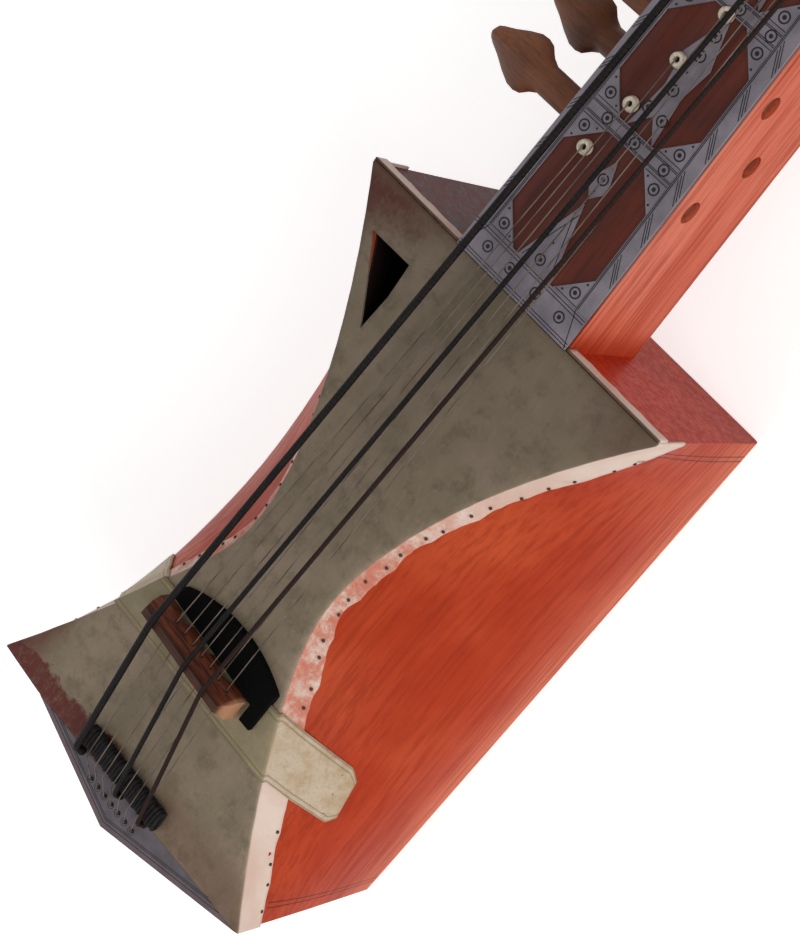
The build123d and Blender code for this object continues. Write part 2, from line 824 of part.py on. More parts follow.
# Bone tail plate: a shallow triangle below the skin, bored for the wires
tail_hole_x = [
    tail_hole_middle_x + tail_hole_pitch * (step - (wire_count - 1) / 2) for step in range(wire_count)
]
with BuildPart() as tail_plate:
    with BuildSketch(Plane.XY.offset(rim_height)):
        with BuildLine():
            Polyline(
                (foot_right - inlay_gap, foot_right_y - inlay_gap),
                (foot_point_x, foot_point_y),
                (foot_corner_x, foot_corner_y - inlay_gap),
                close=True,
            )
        make_face()
        with Locations(*[(hole_x, tail_hole_y) for hole_x in tail_hole_x]):
            Circle(tail_hole_radius, mode=Mode.SUBTRACT)
    extrude(amount=tail_plate_thickness)
tail_plate.part.label = "tail_plate"
export_step(tail_plate.part, "parts/tail_plate.step")

# Black tail bar that carries the strings off the skin
with BuildPart() as tail_bar:
    with BuildSketch(Plane.XY.offset(skin_top)):
        with Locations(
            ((tail_bar_start_x + tail_bar_end_x) / 2, tail_bar_foot_y + tail_bar_width / 2)
        ):
            Rectangle(tail_bar_end_x - tail_bar_start_x, tail_bar_width)
    extrude(amount=tail_bar_height)
    fillet(tail_bar.faces().sort_by(Axis.Z)[-1].edges().filter_by(Axis.X)[-1:], radius=2)
tail_bar.part.label = "tail_bar"
export_step(tail_bar.part, "parts/tail_bar.step")

# Bridge on the strap, with arches between its feet and a bore for every wire
bridge_floor = Plane(
    origin=(bridge_x, bridge_y, strap_top),
    x_dir=(math.cos(skew), -math.sin(skew), 0),
    z_dir=(0, 0, 1),
)
bridge_front = Plane(
    origin=bridge_floor.origin, x_dir=bridge_floor.x_dir, z_dir=-bridge_floor.y_dir
)
bridge_end = Plane(
    origin=bridge_floor.origin, x_dir=bridge_floor.y_dir, z_dir=bridge_floor.x_dir
)
bridge_hole_x = [bridge_hole_first_x + bridge_hole_pitch * step for step in range(wire_count)]
with BuildPart() as bridge:
    with BuildSketch(bridge_front):
        with BuildLine():
            Polyline(
                (-bridge_base_length / 2, 0),
                (bridge_base_length / 2, 0),
                (bridge_base_length / 2 - 1, bridge_height / 2),
                (bridge_top_length / 2, bridge_height),
                (-bridge_top_length / 2, bridge_height),
                (-bridge_base_length / 2 + 1, bridge_height / 2),
                close=True,
            )
        make_face()
        with Locations((-bridge_arch_pitch, 0), (0, 0), (bridge_arch_pitch, 0)):
            Circle(bridge_arch_radius, mode=Mode.SUBTRACT)
        hole_spots = [
            ((hole_x - bridge_x) / math.cos(skew), bridge_hole_height) for hole_x in bridge_hole_x
        ]
        with Locations(*hole_spots):
            Circle(bridge_hole_radius, mode=Mode.SUBTRACT)
    extrude(amount=bridge_base_width, both=True)
    with BuildSketch(bridge_end):
        with BuildLine():
            Polyline(
                (-bridge_base_width / 2, 0),
                (bridge_base_width / 2, 0),
                (bridge_top_width / 2, bridge_height),
                (-bridge_top_width / 2, bridge_height),
                close=True,
            )
        make_face()
    extrude(amount=bridge_base_length, both=True, mode=Mode.INTERSECT)
bridge.part.label = "bridge"
export_step(bridge.part, "parts/bridge.step")

# Black pad in front of the bridge, half on the strap and half on the skin
with BuildPart() as bridge_pad:
    with BuildSketch(Plane.XY.offset(skin_top)):
        with BuildLine():
            pad_foot_y = bridge_line_y(0) + bridge_base_width / 2
            Polyline(
                (foot_pad_start_x, foot_pad_side_y),
                (foot_pad_start_x, pad_foot_y + 4),
                (foot_pad_end_x - 6.5, pad_foot_y - 0.5),
                (foot_pad_end_x - 6.5, foot_pad_toe - 4),
                (foot_pad_end_x, foot_pad_toe - 4),
                (foot_pad_end_x, foot_pad_side_y),
            )
            ThreePointArc(
                (foot_pad_end_x, foot_pad_side_y),
                ((foot_pad_start_x + foot_pad_end_x) / 2, foot_pad_reach),
                (foot_pad_start_x, foot_pad_side_y),
            )
        make_face()
    extrude(amount=foot_pad_thickness)
    add(skin_strap.part, mode=Mode.SUBTRACT)
    add(bridge.part, mode=Mode.SUBTRACT)
bridge_pad.part.label = "bridge_pad"
export_step(bridge_pad.part, "parts/bridge_pad.step")

# Three gut strings: knot under the tail bar, over the bar, the bridge and the nut, to the pegs
for number, radius in enumerate(gut_radii):
    knot_radius = knot_radii[number]
    tail_x = gut_tail_x[number]
    cross_x = gut_bridge_x[number]
    nut_x = gut_nut_x[number]
    peg_y = main_y[main_string.index(number)]
    lift = radius + string_gap
    knot = (tail_x, tail_bar_foot_y - knot_radius - string_gap, skin_top + knot_radius + string_gap)
    route = [
        knot,
        (tail_x, tail_bar_foot_y - lift, tail_bar_top + lift),
        (cross_x, bridge_line_y(cross_x), bridge_top + radius + bridge_rest_gap),
        (nut_x, neck_end_y - nut_rest_inset, nut_top + lift),
        (nut_x, peg_y, main_peg_z + main_peg_radius + winding_growth + seat_gap + radius),
    ]
    with BuildPart() as gut_string:
        taut_line(route, radius)
        with Locations(knot):
            Sphere(knot_radius)
    gut_string.part.label = f"gut_string_{number + 1}"
    export_step(gut_string.part, f"parts/gut_string_{number + 1}.step")

# Seven wires: out of the tail plate, over the bar, through the bridge and an eyelet, to a peg
with BuildPart() as sympathetic_wires:
    for step in range(wire_count):
        eyelet_x, eyelet_y = eyelet_spots[step]
        bar_x = wire_bar_first_x + wire_bar_pitch * step
        bore_x = bridge_hole_x[step]
        shaft_radius = side_peg_radius(eyelet_x, bore_y[step])
        hold = (shaft_radius + wire_radius + seat_gap) * math.sqrt(0.5)
        route = [
            (tail_hole_x[step], tail_hole_y, rim_height + wire_radius + string_gap),
            (tail_hole_x[step], tail_hole_y, skin_top + tail_plate_thickness),
            (bar_x, tail_bar_foot_y - wire_radius, tail_bar_top + wire_radius + string_gap),
            (bore_x, bridge_line_y(bore_x), strap_top + bridge_hole_height),
            (eyelet_x, eyelet_y, panel_top + eyelet_height + wire_radius),
            (eyelet_x, eyelet_y, wire_turn_z),
            (eyelet_x, bore_y[step] - hold, bore_z[step] + hold),
        ]
        taut_line(route, wire_radius)
sympathetic_wires.part.label = "sympathetic_wires"
export_step(sympathetic_wires.part, "parts/sympathetic_wires.step")
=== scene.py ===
import math

import bpy
from mathutils import Matrix, Vector


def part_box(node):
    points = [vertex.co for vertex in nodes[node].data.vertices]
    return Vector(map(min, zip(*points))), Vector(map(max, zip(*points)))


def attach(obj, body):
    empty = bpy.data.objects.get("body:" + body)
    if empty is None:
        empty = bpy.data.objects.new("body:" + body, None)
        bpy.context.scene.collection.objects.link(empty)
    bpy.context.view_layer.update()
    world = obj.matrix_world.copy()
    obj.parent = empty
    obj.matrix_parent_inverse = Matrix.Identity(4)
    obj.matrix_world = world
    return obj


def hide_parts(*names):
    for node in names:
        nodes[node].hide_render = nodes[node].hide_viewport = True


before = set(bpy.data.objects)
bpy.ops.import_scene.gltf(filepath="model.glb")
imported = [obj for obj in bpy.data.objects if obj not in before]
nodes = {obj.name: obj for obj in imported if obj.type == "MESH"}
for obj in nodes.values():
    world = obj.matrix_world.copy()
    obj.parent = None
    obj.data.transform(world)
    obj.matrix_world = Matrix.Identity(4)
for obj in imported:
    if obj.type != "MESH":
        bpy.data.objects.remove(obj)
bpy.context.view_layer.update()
mm = 0.001

# Camera: hand height above the belly, beside the lower end, with a long lens. The neck runs out
# of the view at its top right corner.
camera_data = bpy.data.cameras.new("camera")
camera_data.sensor_width = 36.0
camera_data.lens = 79.52
camera_data.shift_x = 0.02886
camera_data.shift_y = -0.02624
camera = bpy.data.objects.new("camera", camera_data)
camera_right = Vector((0.621241, 0.574689, -0.532721)).normalized()
camera_back = Vector((0.391302, 0.361490, 0.846291)).normalized()
camera_up = camera_back.cross(camera_right)
turn = Matrix((camera_right, camera_up, camera_back)).transposed()
camera.matrix_world = Matrix.Translation((0.303532, 0.406949, 0.770516)) @ turn.to_4x4()
bpy.context.scene.collection.objects.link(camera)
bpy.context.scene.camera = camera

# Studio: a white table, an even white room, a broad lamp off the right side and a weaker one
# off the tail.
bpy.context.scene.view_settings.view_transform = "Standard"


def link(tree, start, end):
    tree.links.new(start, end)


def seen_ray(tree):
    """One for a ray that the eye sees, straight, mirrored or through glass."""
    path = tree.nodes.new("ShaderNodeLightPath")
    total = path.outputs["Is Camera Ray"]
    for name in ("Is Glossy Ray", "Is Transmission Ray"):
        more = tree.nodes.new("ShaderNodeMath")
        more.operation = "MAXIMUM"
        link(tree, total, more.inputs[0])
        link(tree, path.outputs[name], more.inputs[1])
        total = more.outputs[0]
    return total


room_light = 0.44
room = bpy.data.worlds.new("room")
room.use_nodes = True
bpy.context.scene.world = room
back_node = room.node_tree.nodes["Background"]
back_node.inputs["Color"].default_value = (1.0, 0.985, 0.97, 1.0)
back_strength = room.node_tree.nodes.new("ShaderNodeMapRange")
back_strength.inputs["To Min"].default_value = room_light
back_strength.inputs["To Max"].default_value = 1.0
link(room.node_tree, seen_ray(room.node_tree), back_strength.inputs["Value"])
link(room.node_tree, back_strength.outputs["Result"], back_node.inputs["Strength"])


def lamp(name, strength, softness, towards, tint):
    data = bpy.data.lights.new(name, "SUN")
    data.energy = strength
    data.angle = math.radians(softness)
    data.color = tint
    lamp_object = bpy.data.objects.new(name, data)
    lamp_object.rotation_mode = "QUATERNION"
    lamp_object.rotation_quaternion = Vector(towards).to_track_quat("-Z", "Y")
    bpy.context.scene.collection.objects.link(lamp_object)


lamp("lamp_right", 1.75, 50, (-0.86, -0.12, -0.40), (1.0, 0.97, 0.93))
lamp("lamp_tail", 0.45, 80, (0.35, 0.75, -0.75), (0.95, 0.97, 1.0))



def pick(*pieces):
    """Selects only these pieces and makes the first of them active."""
    bpy.ops.object.select_all(action="DESELECT")
    for piece in pieces:
        piece.select_set(True)
    if pieces:
        bpy.context.view_layer.objects.active = pieces[0]


pick()
bpy.ops.mesh.primitive_plane_add(size=12, location=(0, 0.2, -0.5 * mm))
table = bpy.context.active_object
table.name = "table_top"
table_finish = bpy.data.materials.new("table_white")
table_finish.use_nodes = True
table_tree = table_finish.node_tree
table_shader = table_tree.nodes["Principled BSDF"]
table_shader.inputs["Base Color"].default_value = (0.82, 0.82, 0.82, 1.0)
table_shader.inputs["Roughness"].default_value = 0.9
table_shader.inputs["Emission Color"].default_value = (1.0, 1.0, 1.0, 1.0)
table_glow = table_tree.nodes.new("ShaderNodeMath")
table_glow.operation = "MULTIPLY"
table_glow.inputs[1].default_value = 0.56
link(table_tree, seen_ray(table_tree), table_glow.inputs[0])
link(table_tree, table_glow.outputs[0], table_shader.inputs["Emission Strength"])
table.data.materials.append(table_finish)


# The block: body, neck and head are carved from one log and stained orange red. The grain runs
# along the neck, and pairs of fine lines are cut near the edges.
def colour(red, green, blue):
    """A screen colour, 0 to 255, as a linear one."""
    shares = [part / 255 for part in (red, green, blue)]
    linear = [s / 12.92 if s <= 0.04045 else ((s + 0.055) / 1.055) ** 2.4 for s in shares]
    return (*linear, 1.0)


class Finish:
    """A material and the nodes that colour it, all laid out in the object's own metres."""

    def __init__(self, name, roughness, **constants):
        self.material = bpy.data.materials.new(name)
        self.material.use_nodes = True
        self.tree = self.material.node_tree
        self.shader = self.tree.nodes["Principled BSDF"]
        self.shader.inputs["Roughness"].default_value = roughness
        self.shader.inputs["Specular IOR Level"].default_value = 0.22
        for socket, value in constants.items():
            self.shader.inputs[socket.replace("_", " ")].default_value = value
        self.place = self.tree.nodes.new("ShaderNodeTexCoord").outputs["Object"]
        split = self.tree.nodes.new("ShaderNodeSeparateXYZ")
        link(self.tree, self.place, split.inputs[0])
        self.x, self.y, self.z = split.outputs

    def put(self, value, socket):
        if isinstance(value, bpy.types.NodeSocket):
            link(self.tree, value, socket)
        else:
            socket.default_value = value

    def math(self, operation, first, second=0.0):
        node = self.tree.nodes.new("ShaderNodeMath")
        node.operation = operation
        for socket, value in zip(node.inputs, (first, second)):
            self.put(value, socket)
        return node.outputs[0]

    def add(self, first, second):
        return self.math("ADD", first, second)

    def sub(self, first, second):
        return self.math("SUBTRACT", first, second)

    def mul(self, first, second):
        return self.math("MULTIPLY", first, second)

    def most(self, first, second):
        return self.math("MAXIMUM", first, second)

    def ramp(self, value, low, high, bottom=0.0, top=1.0):
        """Rises smoothly from bottom to top while value goes from low to high."""
        node = self.tree.nodes.new("ShaderNodeMapRange")
        node.interpolation_type = "SMOOTHSTEP"
        self.put(value, node.inputs["Value"])
        for name, number in zip(("From Min", "From Max", "To Min", "To Max"), (low, high, bottom, top)):
            node.inputs[name].default_value = number
        return node.outputs["Result"]

    def noise(self, size, stretch=(1, 1, 1), turned=(0, 0, 0), detail=4.0, rough=0.55, seed=0.0):
        """Cloudy noise whose blotches are about size metres, longer by stretch."""
        frame_node = self.tree.nodes.new("ShaderNodeMapping")
        frame_node.vector_type = "TEXTURE"
        frame_node.inputs["Rotation"].default_value = turned
        frame_node.inputs["Scale"].default_value = [size * share for share in stretch]
        frame_node.inputs["Location"].default_value = (seed, seed, seed)
        link(self.tree, self.place, frame_node.inputs["Vector"])
        node = self.tree.nodes.new("ShaderNodeTexNoise")
        node.inputs["Scale"].default_value = 1.0
        node.inputs["Detail"].default_value = detail
        node.inputs["Roughness"].default_value = rough
        link(self.tree, frame_node.outputs["Vector"], node.inputs["Vector"])
        return node.outputs["Fac"]

    def mix(self, share, first, second):
        node = self.tree.nodes.new("ShaderNodeMix")
        node.data_type = "RGBA"
        self.put(share, node.inputs["Factor"])
        self.put(first, node.inputs[6])
        self.put(second, node.inputs[7])
        return node.outputs[2]

    def blend(self, value, reach, first, second):
        """From the first colour to the second as value passes through reach."""
        return self.mix(self.ramp(value, *reach), first, second)

    def line(self, value, at, half_width):
        """One on a thin line where value equals at."""
        gap = self.math("ABSOLUTE", self.sub(value, at))
        return self.ramp(gap, half_width, half_width * 0.4)

    def bump(self, height, depth, strength=1.0):
        node = self.tree.nodes.new("ShaderNodeBump")
        node.inputs["Distance"].default_value = depth
        node.inputs["Strength"].default_value = strength
        link(self.tree, height, node.inputs["Height"])
        link(self.tree, node.outputs["Normal"], self.shader.inputs["Normal"])

    def paint(self, value):
        self.put(value, self.shader.inputs["Base Color"])

    def rough(self, value):
        self.put(value, self.shader.inputs["Roughness"])


def dress(node, finish):
    """Gives a CAD node a finish in all its slots."""
    data = nodes[node].data
    if not data.materials:
        data.materials.append(finish.material)
    for index in range(len(data.materials)):
        data.materials[index] = finish.material


wood = Finish("stained_wood", 0.42, Specular_IOR_Level=0.08)
grain = wood.noise(2.2 * mm, stretch=(1, 26, 1), detail=5, rough=0.6)
figure = wood.noise(16 * mm, stretch=(1, 7, 1), detail=3, seed=0.3)
patches = wood.noise(60 * mm, detail=3, seed=0.7)
pores = wood.noise(0.5 * mm, stretch=(1, 16, 1), detail=2, seed=1.3)
belly_tone = wood.blend(figure, (0.3, 0.7), colour(176, 60, 30), colour(162, 50, 23))
belly_tone = wood.blend(patches, (0.35, 0.7), belly_tone, colour(186, 76, 42))
# Painted highlight: the side walls are painted paler towards the back edge, where they round over into the
# light.
back_edge_highlight = wood.ramp(wood.z, 26 * mm, 2 * mm)
belly_tone = wood.mix(wood.mul(back_edge_highlight, 0.6), belly_tone, colour(214, 118, 84))
# The neck is painted a paler salmon than the body: painted light for its brightly lit right side and its
# sheen.
neck_lit_tone = wood.blend(figure, (0.3, 0.7), colour(208, 112, 88), colour(194, 88, 60))
# The shoulder faces get a more saturated red, painted light that makes up for the lamps hardly reaching
# them.
shoulder_start = wood.ramp(wood.y, 199.2 * mm, 199.8 * mm)
shoulder_share = wood.mul(shoulder_start, wood.ramp(wood.y, 200.8 * mm, 200.2 * mm))
shoulder_painted_tone = wood.blend(patches, (0.35, 0.65), colour(188, 52, 20), colour(168, 40, 14))
# Left of the neck the shoulder is darkened further: a painted shadow of the neck, broken up by the patch
# noise.
neck_shadow_share = wood.mul(wood.ramp(wood.x, 0.0, -30 * mm), wood.ramp(patches, 0.2, 0.6, 0.85, 1.0))
shoulder_painted_tone = wood.mix(neck_shadow_share, shoulder_painted_tone, colour(30, 6, 4))
belly_tone = wood.mix(shoulder_share, belly_tone, shoulder_painted_tone)
neck_share = wood.ramp(wood.y, 200.5 * mm, 214 * mm)
wood_tone = wood.mix(neck_share, belly_tone, neck_lit_tone)
wood_tone = wood.blend(grain, (0.42, 0.68, 0, 0.5), wood_tone, colour(136, 40, 18))
wood_tone = wood.blend(pores, (0.6, 0.75, 0, 0.35), wood_tone, colour(110, 36, 20))
cut_lines = wood.most(wood.line(wood.y, 192.6 * mm, 0.4 * mm), wood.line(wood.y, 190.2 * mm, 0.4 * mm))
cut_lines = wood.mul(cut_lines, wood.ramp(wood.z, 80 * mm, 79 * mm))
foot_lines = wood.most(wood.line(wood.y, -60.5 * mm, 0.4 * mm), wood.line(wood.y, -58.2 * mm, 0.4 * mm))
foot_lines = wood.mul(foot_lines, wood.ramp(wood.z, 82 * mm, 81 * mm))
neck_lines = wood.most(wood.line(wood.z, 93.6 * mm, 0.3 * mm), wood.line(wood.z, 40.5 * mm, 0.3 * mm))
neck_lines = wood.mul(neck_lines, wood.ramp(wood.y, 201 * mm, 202 * mm))
all_lines = wood.most(wood.most(cut_lines, foot_lines), neck_lines)
wood_tone = wood.mix(wood.mul(all_lines, 0.75), wood_tone, colour(84, 28, 18))
wood.rough(wood.ramp(grain, 0.3, 0.7, 0.36, 0.52))
wood_height = wood.sub(wood.mul(grain, 0.5), wood.mul(pores, 0.3))
wood_height = wood.sub(wood_height, wood.mul(all_lines, 2.0))
wood.bump(wood_height, 0.25 * mm, 0.7)
# Inside, the hollow is unstained wood, painted near black: painted shade where little light gets in.
reach = wood.most(wood.math("DIVIDE", wood.sub(wood.y, 60 * mm), 140 * mm), 0.0)
inner_x = wood.add(wood.mul(wood.math("POWER", reach, 1.7), 56.5 * mm), 17 * mm)
inside = wood.math("LESS_THAN", wood.math("ABSOLUTE", wood.x), inner_x)
inside = wood.mul(inside, wood.math("GREATER_THAN", wood.z, 11 * mm))
inside = wood.mul(inside, wood.math("LESS_THAN", wood.y, 189 * mm))
inside = wood.mul(inside, wood.math("GREATER_THAN", wood.y, -62 * mm))
wood.paint(wood.mix(inside, wood_tone, colour(26, 18, 15)))
dress("body_block", wood)

# Belly skin: one rawhide, glued and tacked over the rim while wet and dried drum-tight. It is cut
# wavy below the tacks, folds over the shoulders, and has a three-cornered sound hole.
block = nodes["body_block"]
rim_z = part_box("belly_skin")[1].z - 1.2 * mm
skin_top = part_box("belly_skin")[1].z
strap_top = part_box("skin_strap")[1].z
shoulder_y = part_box("fingerboard_panel")[0].y - 0.6 * mm
skin_thick = 1.2 * mm
fold_foot = rim_z - 1.2 * mm
ray_start = 0.2
widest_x = 0.079


def wood_x(side, y, z):
    """Where the block's side wall stands at (y, z)."""
    hit, place, _, _ = block.ray_cast(Vector((side * ray_start, y, z)), Vector((-side, 0, 0)))
    return place.x if hit else side * widest_x


def skin_drop(y):
    """How far the skin's cut edge lies below its top, at y."""
    waist_y = 60 * mm
    if y >= waist_y:
        return 6 * mm + 20 * mm * ((y - waist_y) / (shoulder_y - waist_y)) ** 4.4
    return 6 * mm + 10 * mm * (waist_y - y) / (127 * mm)


def scallop(y, pitch, depth):
    return depth * abs(math.sin(math.pi * y / pitch)) ** 0.7


def cut_wave(y):
    """The hand-cut edge's uneven line, at y."""
    slow = 0.45 * mm * math.sin(y / (7.3 * mm)) + 0.25 * mm * math.sin(y / (3.1 * mm) + 1.0)
    return slow + scallop(y, 9.9 * mm, 0.35 * mm)


def sheet_of(name, rows, thickness, finish):
    """A cloth-like sheet through rows of points, thickened away from the points' own side."""
    points = [point for row in rows for point in row]
    wide = len(rows[0])
    quads = []
    for row in range(len(rows) - 1):
        for column in range(wide - 1):
            first = row * wide + column
            quads.append((first, first + 1, first + wide + 1, first + wide))
    data = bpy.data.meshes.new(name)
    data.from_pydata(points, [], quads)
    piece = bpy.data.objects.new(name, data)
    bpy.context.scene.collection.objects.link(piece)
    data.materials.append(finish.material)
    modify(piece, "SOLIDIFY", thickness=thickness, offset=-1.0)
    data.shade_smooth()
    return piece


def modify(piece, kind, **settings):
    """Adds a modifier and applies it."""
    pick(piece)
    step = piece.modifiers.new(kind.lower(), kind)
    for key, value in settings.items():
        setattr(step, key, value)
    bpy.ops.object.modifier_apply(modifier=step.name)


def side_line(side, y, edge_z, lift):
    """Points from the cut edge up the side to the fold, at one y."""
    made = []
    steps = 9
    for step in range(steps):
        z = edge_z + (fold_foot - edge_z) * step / (steps - 1)
        made.append(Vector((wood_x(side, y, z) + side * lift, y, z)))
    return made


def fold_line(side, y, lift):
    """The rounded fold over the rim, from the side to the top."""
    edge_x = wood_x(side, y, fold_foot) + side * lift
    radius = 1.5 * mm
    top = rim_z + lift
    made = []
    for step in range(1, 4):
        angle = math.pi / 2 * step / 4
        x = edge_x - side * radius * (1 - math.cos(angle))
        z = top - radius * (1 - math.sin(angle))
        made.append(Vector((x, y, z)))
    return made


def foot_y(x):
    """The skin's straight edge along the tail plate."""
    left, corner, right = (-84 * mm, -70 * mm), (-57 * mm, -71.5 * mm), (78 * mm, -67 * mm)
    first, last = (left, corner) if x < corner[0] else (corner, right)
    share = (x - first[0]) / (last[0] - first[0])
    return first[1] + (last[1] - first[1]) * min(max(share, 0), 1)


skin_rows = []
row_count = 200
top_columns = 26
last_y = shoulder_y + 0.9 * mm
for row in range(row_count + 1):
    share = row / row_count
    edge_points = {}
    for side in (-1, 1):
        start = foot_y(side * 90 * mm)
        y = start + (last_y - start) * share
        body_y = min(y, shoulder_y - 0.1 * mm)
        edge_z = skin_top - skin_drop(body_y) + cut_wave(y)
        line_points = side_line(side, body_y, edge_z, skin_thick) + fold_line(side, body_y, skin_thick)
        for point in line_points:
            point.y = y
        edge_points[side] = line_points
    left_end, right_end = edge_points[-1][-1], edge_points[1][-1]
    top = []
    for column in range(1, top_columns):
        across = column / top_columns
        x = left_end.x + (right_end.x - left_end.x) * across
        start = foot_y(x * 84 * mm / max(abs(left_end.x), 1 * mm) if share < 0.02 else x)
        y = start + (last_y - start) * share
        top.append(Vector((x, y, skin_top)))
    skin_rows.append(edge_points[-1] + top + edge_points[1][::-1])

hide = Finish("belly_rawhide", 0.55)
clouds = hide.noise(34 * mm, detail=5, rough=0.6)
blotch = hide.noise(9 * mm, detail=5, rough=0.65, seed=2.1)
fibre = hide.noise(1.6 * mm, stretch=(1, 2.5, 1), detail=4, rough=0.7, seed=4.2)
belly = hide.blend(clouds, (0.34, 0.68), colour(126, 114, 94), colour(142, 126, 108))
belly = hide.blend(blotch, (0.46, 0.7, 0, 0.6), belly, colour(98, 88, 72))
belly = hide.blend(fibre, (0.48, 0.75, 0, 0.4), belly, colour(158, 138, 120))
ragged = hide.mul(hide.sub(blotch, 0.5), 26 * mm)
rust = colour(86, 34, 26)
tail_edge = hide.add(hide.y, ragged)
tail_mask = hide.mul(hide.ramp(tail_edge, -57 * mm, -61 * mm), hide.ramp(hide.x, 0.0, -22 * mm))
left_edge = hide.mul(hide.ramp(hide.add(hide.x, ragged), -58 * mm, -74 * mm), 0.75)
horn_reach = hide.sub(hide.add(hide.y, ragged), hide.mul(hide.x, 0.55))
horn_mask = hide.mul(hide.ramp(horn_reach, 205 * mm, 232 * mm), hide.ramp(hide.x, -12 * mm, -40 * mm))
right_reach = hide.add(hide.add(hide.y, ragged), hide.x)
right_mask = hide.mul(hide.ramp(right_reach, 228 * mm, 268 * mm), 0.45)
foot_patch = hide.mul(hide.ramp(tail_edge, -40 * mm, -58 * mm, 0, 0.35), hide.ramp(hide.x, 4 * mm, 24 * mm))
stain = hide.most(hide.most(tail_mask, horn_mask), hide.most(left_edge, right_mask))
stain = hide.mul(hide.most(stain, foot_patch), hide.ramp(fibre, 0.2, 0.55, 0.62, 1.0))
belly = hide.mix(stain, belly, rust)
# The belly is painted darker towards the head end.
toward_head_darkening = hide.ramp(hide.y, 40 * mm, 215 * mm, 0, 0.42)
belly = hide.mix(toward_head_darkening, belly, colour(52, 42, 34))
fold_dark = hide.mul(hide.ramp(hide.y, 196 * mm, 200 * mm), 0.35)
belly = hide.mix(fold_dark, belly, colour(92, 76, 58))
speckle = hide.noise(2.3 * mm, detail=5, rough=0.75, seed=7.0)
pink = hide.mul(hide.ramp(hide.y, 160 * mm, 90 * mm), hide.ramp(hide.y, -6 * mm, 14 * mm))
cream = hide.blend(clouds, (0.35, 0.65), colour(218, 200, 188), colour(208, 180, 166))
washed = hide.add(hide.mul(blotch, 0.65), hide.mul(speckle, 0.35))
cream = hide.mix(hide.mul(hide.ramp(washed, 0.36, 0.58), pink), cream, colour(196, 120, 100))
cream = hide.blend(speckle, (0.64, 0.78, 0, 0.4), cream, colour(150, 104, 90))
# The skin down the sides is painted paler than on the belly: partly the rawhide's own colour over solid
# wood, partly painted light on the lit sides.
on_side = hide.ramp(hide.z, skin_top - 0.5 * mm, skin_top - 2.2 * mm)
hide.paint(hide.mix(on_side, belly, cream))
hide.rough(hide.ramp(blotch, 0.3, 0.7, 0.48, 0.66))
hide_height = hide.add(hide.mul(blotch, 0.8), hide.mul(fibre, 0.5))
hide.bump(hide_height, 0.3 * mm, 0.6)

skin = sheet_of("belly_skin_sheet", skin_rows, 1.0 * mm, hide)

# The skin's upper fold hangs down both shoulder faces, one flap each side of the neck.
for side, flap_name in ((-1, "skin_flap_left"), (1, "skin_flap_right")):
    flap_rows = []
    neck_x = 30.8 * mm
    for step in range(7):
        z = skin_top - 0.6 * mm - 8.2 * mm * step / 6
        row = []
        for column in range(31):
            outer = abs(wood_x(side, shoulder_y - 0.2 * mm, min(z, rim_z - 0.2 * mm))) + 0.9 * mm
            x = neck_x + (outer - neck_x) * column / 30
            wave = scallop(x, 13 * mm, 1.1 * mm) * (step / 6) ** 2
            row.append(Vector((side * x, shoulder_y + 1.15 * mm, z + wave)))
        flap_rows.append(row if side < 0 else row[::-1])
    flap = sheet_of(flap_name, flap_rows, 0.9 * mm, hide)
    pick(skin, flap)
    bpy.ops.object.join()
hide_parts("belly_skin")
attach(skin, "frame")


def edit(kind="VERT"):
    """Opens the active piece for editing, all its points or faces selected."""
    bpy.ops.object.mode_set(mode="EDIT")
    bpy.ops.mesh.select_mode(type=kind)
    bpy.ops.mesh.select_all(action="SELECT")


def leave():
    bpy.ops.object.mode_set(mode="OBJECT")


def cut_with(piece, cutter):
    """Cuts the cutter out of the piece and removes it."""
    modify(piece, "BOOLEAN", object=cutter, operation="DIFFERENCE", solver="EXACT")
    bpy.data.objects.remove(cutter)


hole_corners = [(-62.2, 180.7), (-40.5, 181.2), (-39.6, 166.0), (-41.0, 149.3), (-51.0, 164.5)]
hole_data = bpy.data.meshes.new("hole_cutter")
hole_points = [Vector((x * mm, y * mm, skin_top - 4 * mm)) for x, y in hole_corners]
hole_points += [point + Vector((0, 0, 8 * mm)) for point in hole_points]
count = len(hole_corners)
hole_faces = [tuple(range(count)), tuple(range(2 * count - 1, count - 1, -1))]
hole_faces += [(i, i + count, (i + 1) % count + count, (i + 1) % count) for i in range(count)]
hole_data.from_pydata(hole_points, [], hole_faces)
hole_cutter = bpy.data.objects.new("hole_cutter", hole_data)
bpy.context.scene.collection.objects.link(hole_cutter)
pick(hole_cutter)
edit()
bpy.ops.mesh.normals_make_consistent(inside=False)
leave()
cut_with(skin, hole_cutter)

# Strap: a second strip of rawhide over the belly under the bridge, its clipped ends nailed to
# the sides. A pair of pressed lines runs just inside its edges.
strap_half = 13.1 * mm
strap_shift = 8.0 * mm
strap_end_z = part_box("skin_strap")[0].z
strap_lift = 2.35 * mm
strap_corner = 4.0 * mm
strip = Finish("strap_rawhide", 0.5)
strap_cloud = strip.noise(11 * mm, detail=5, rough=0.65, seed=3.0)
strap_fleck = strip.noise(1.7 * mm, detail=5, rough=0.75, seed=5.0)
strap_top_tone = strip.blend(strap_cloud, (0.35, 0.7), colour(134, 124, 98), colour(152, 138, 110))
strap_side = strip.blend(strap_cloud, (0.35, 0.7), colour(192, 176, 156), colour(170, 146, 112))
strap_side = strip.blend(strap_fleck, (0.5, 0.7, 0, 0.6), strap_side, colour(164, 134, 106))
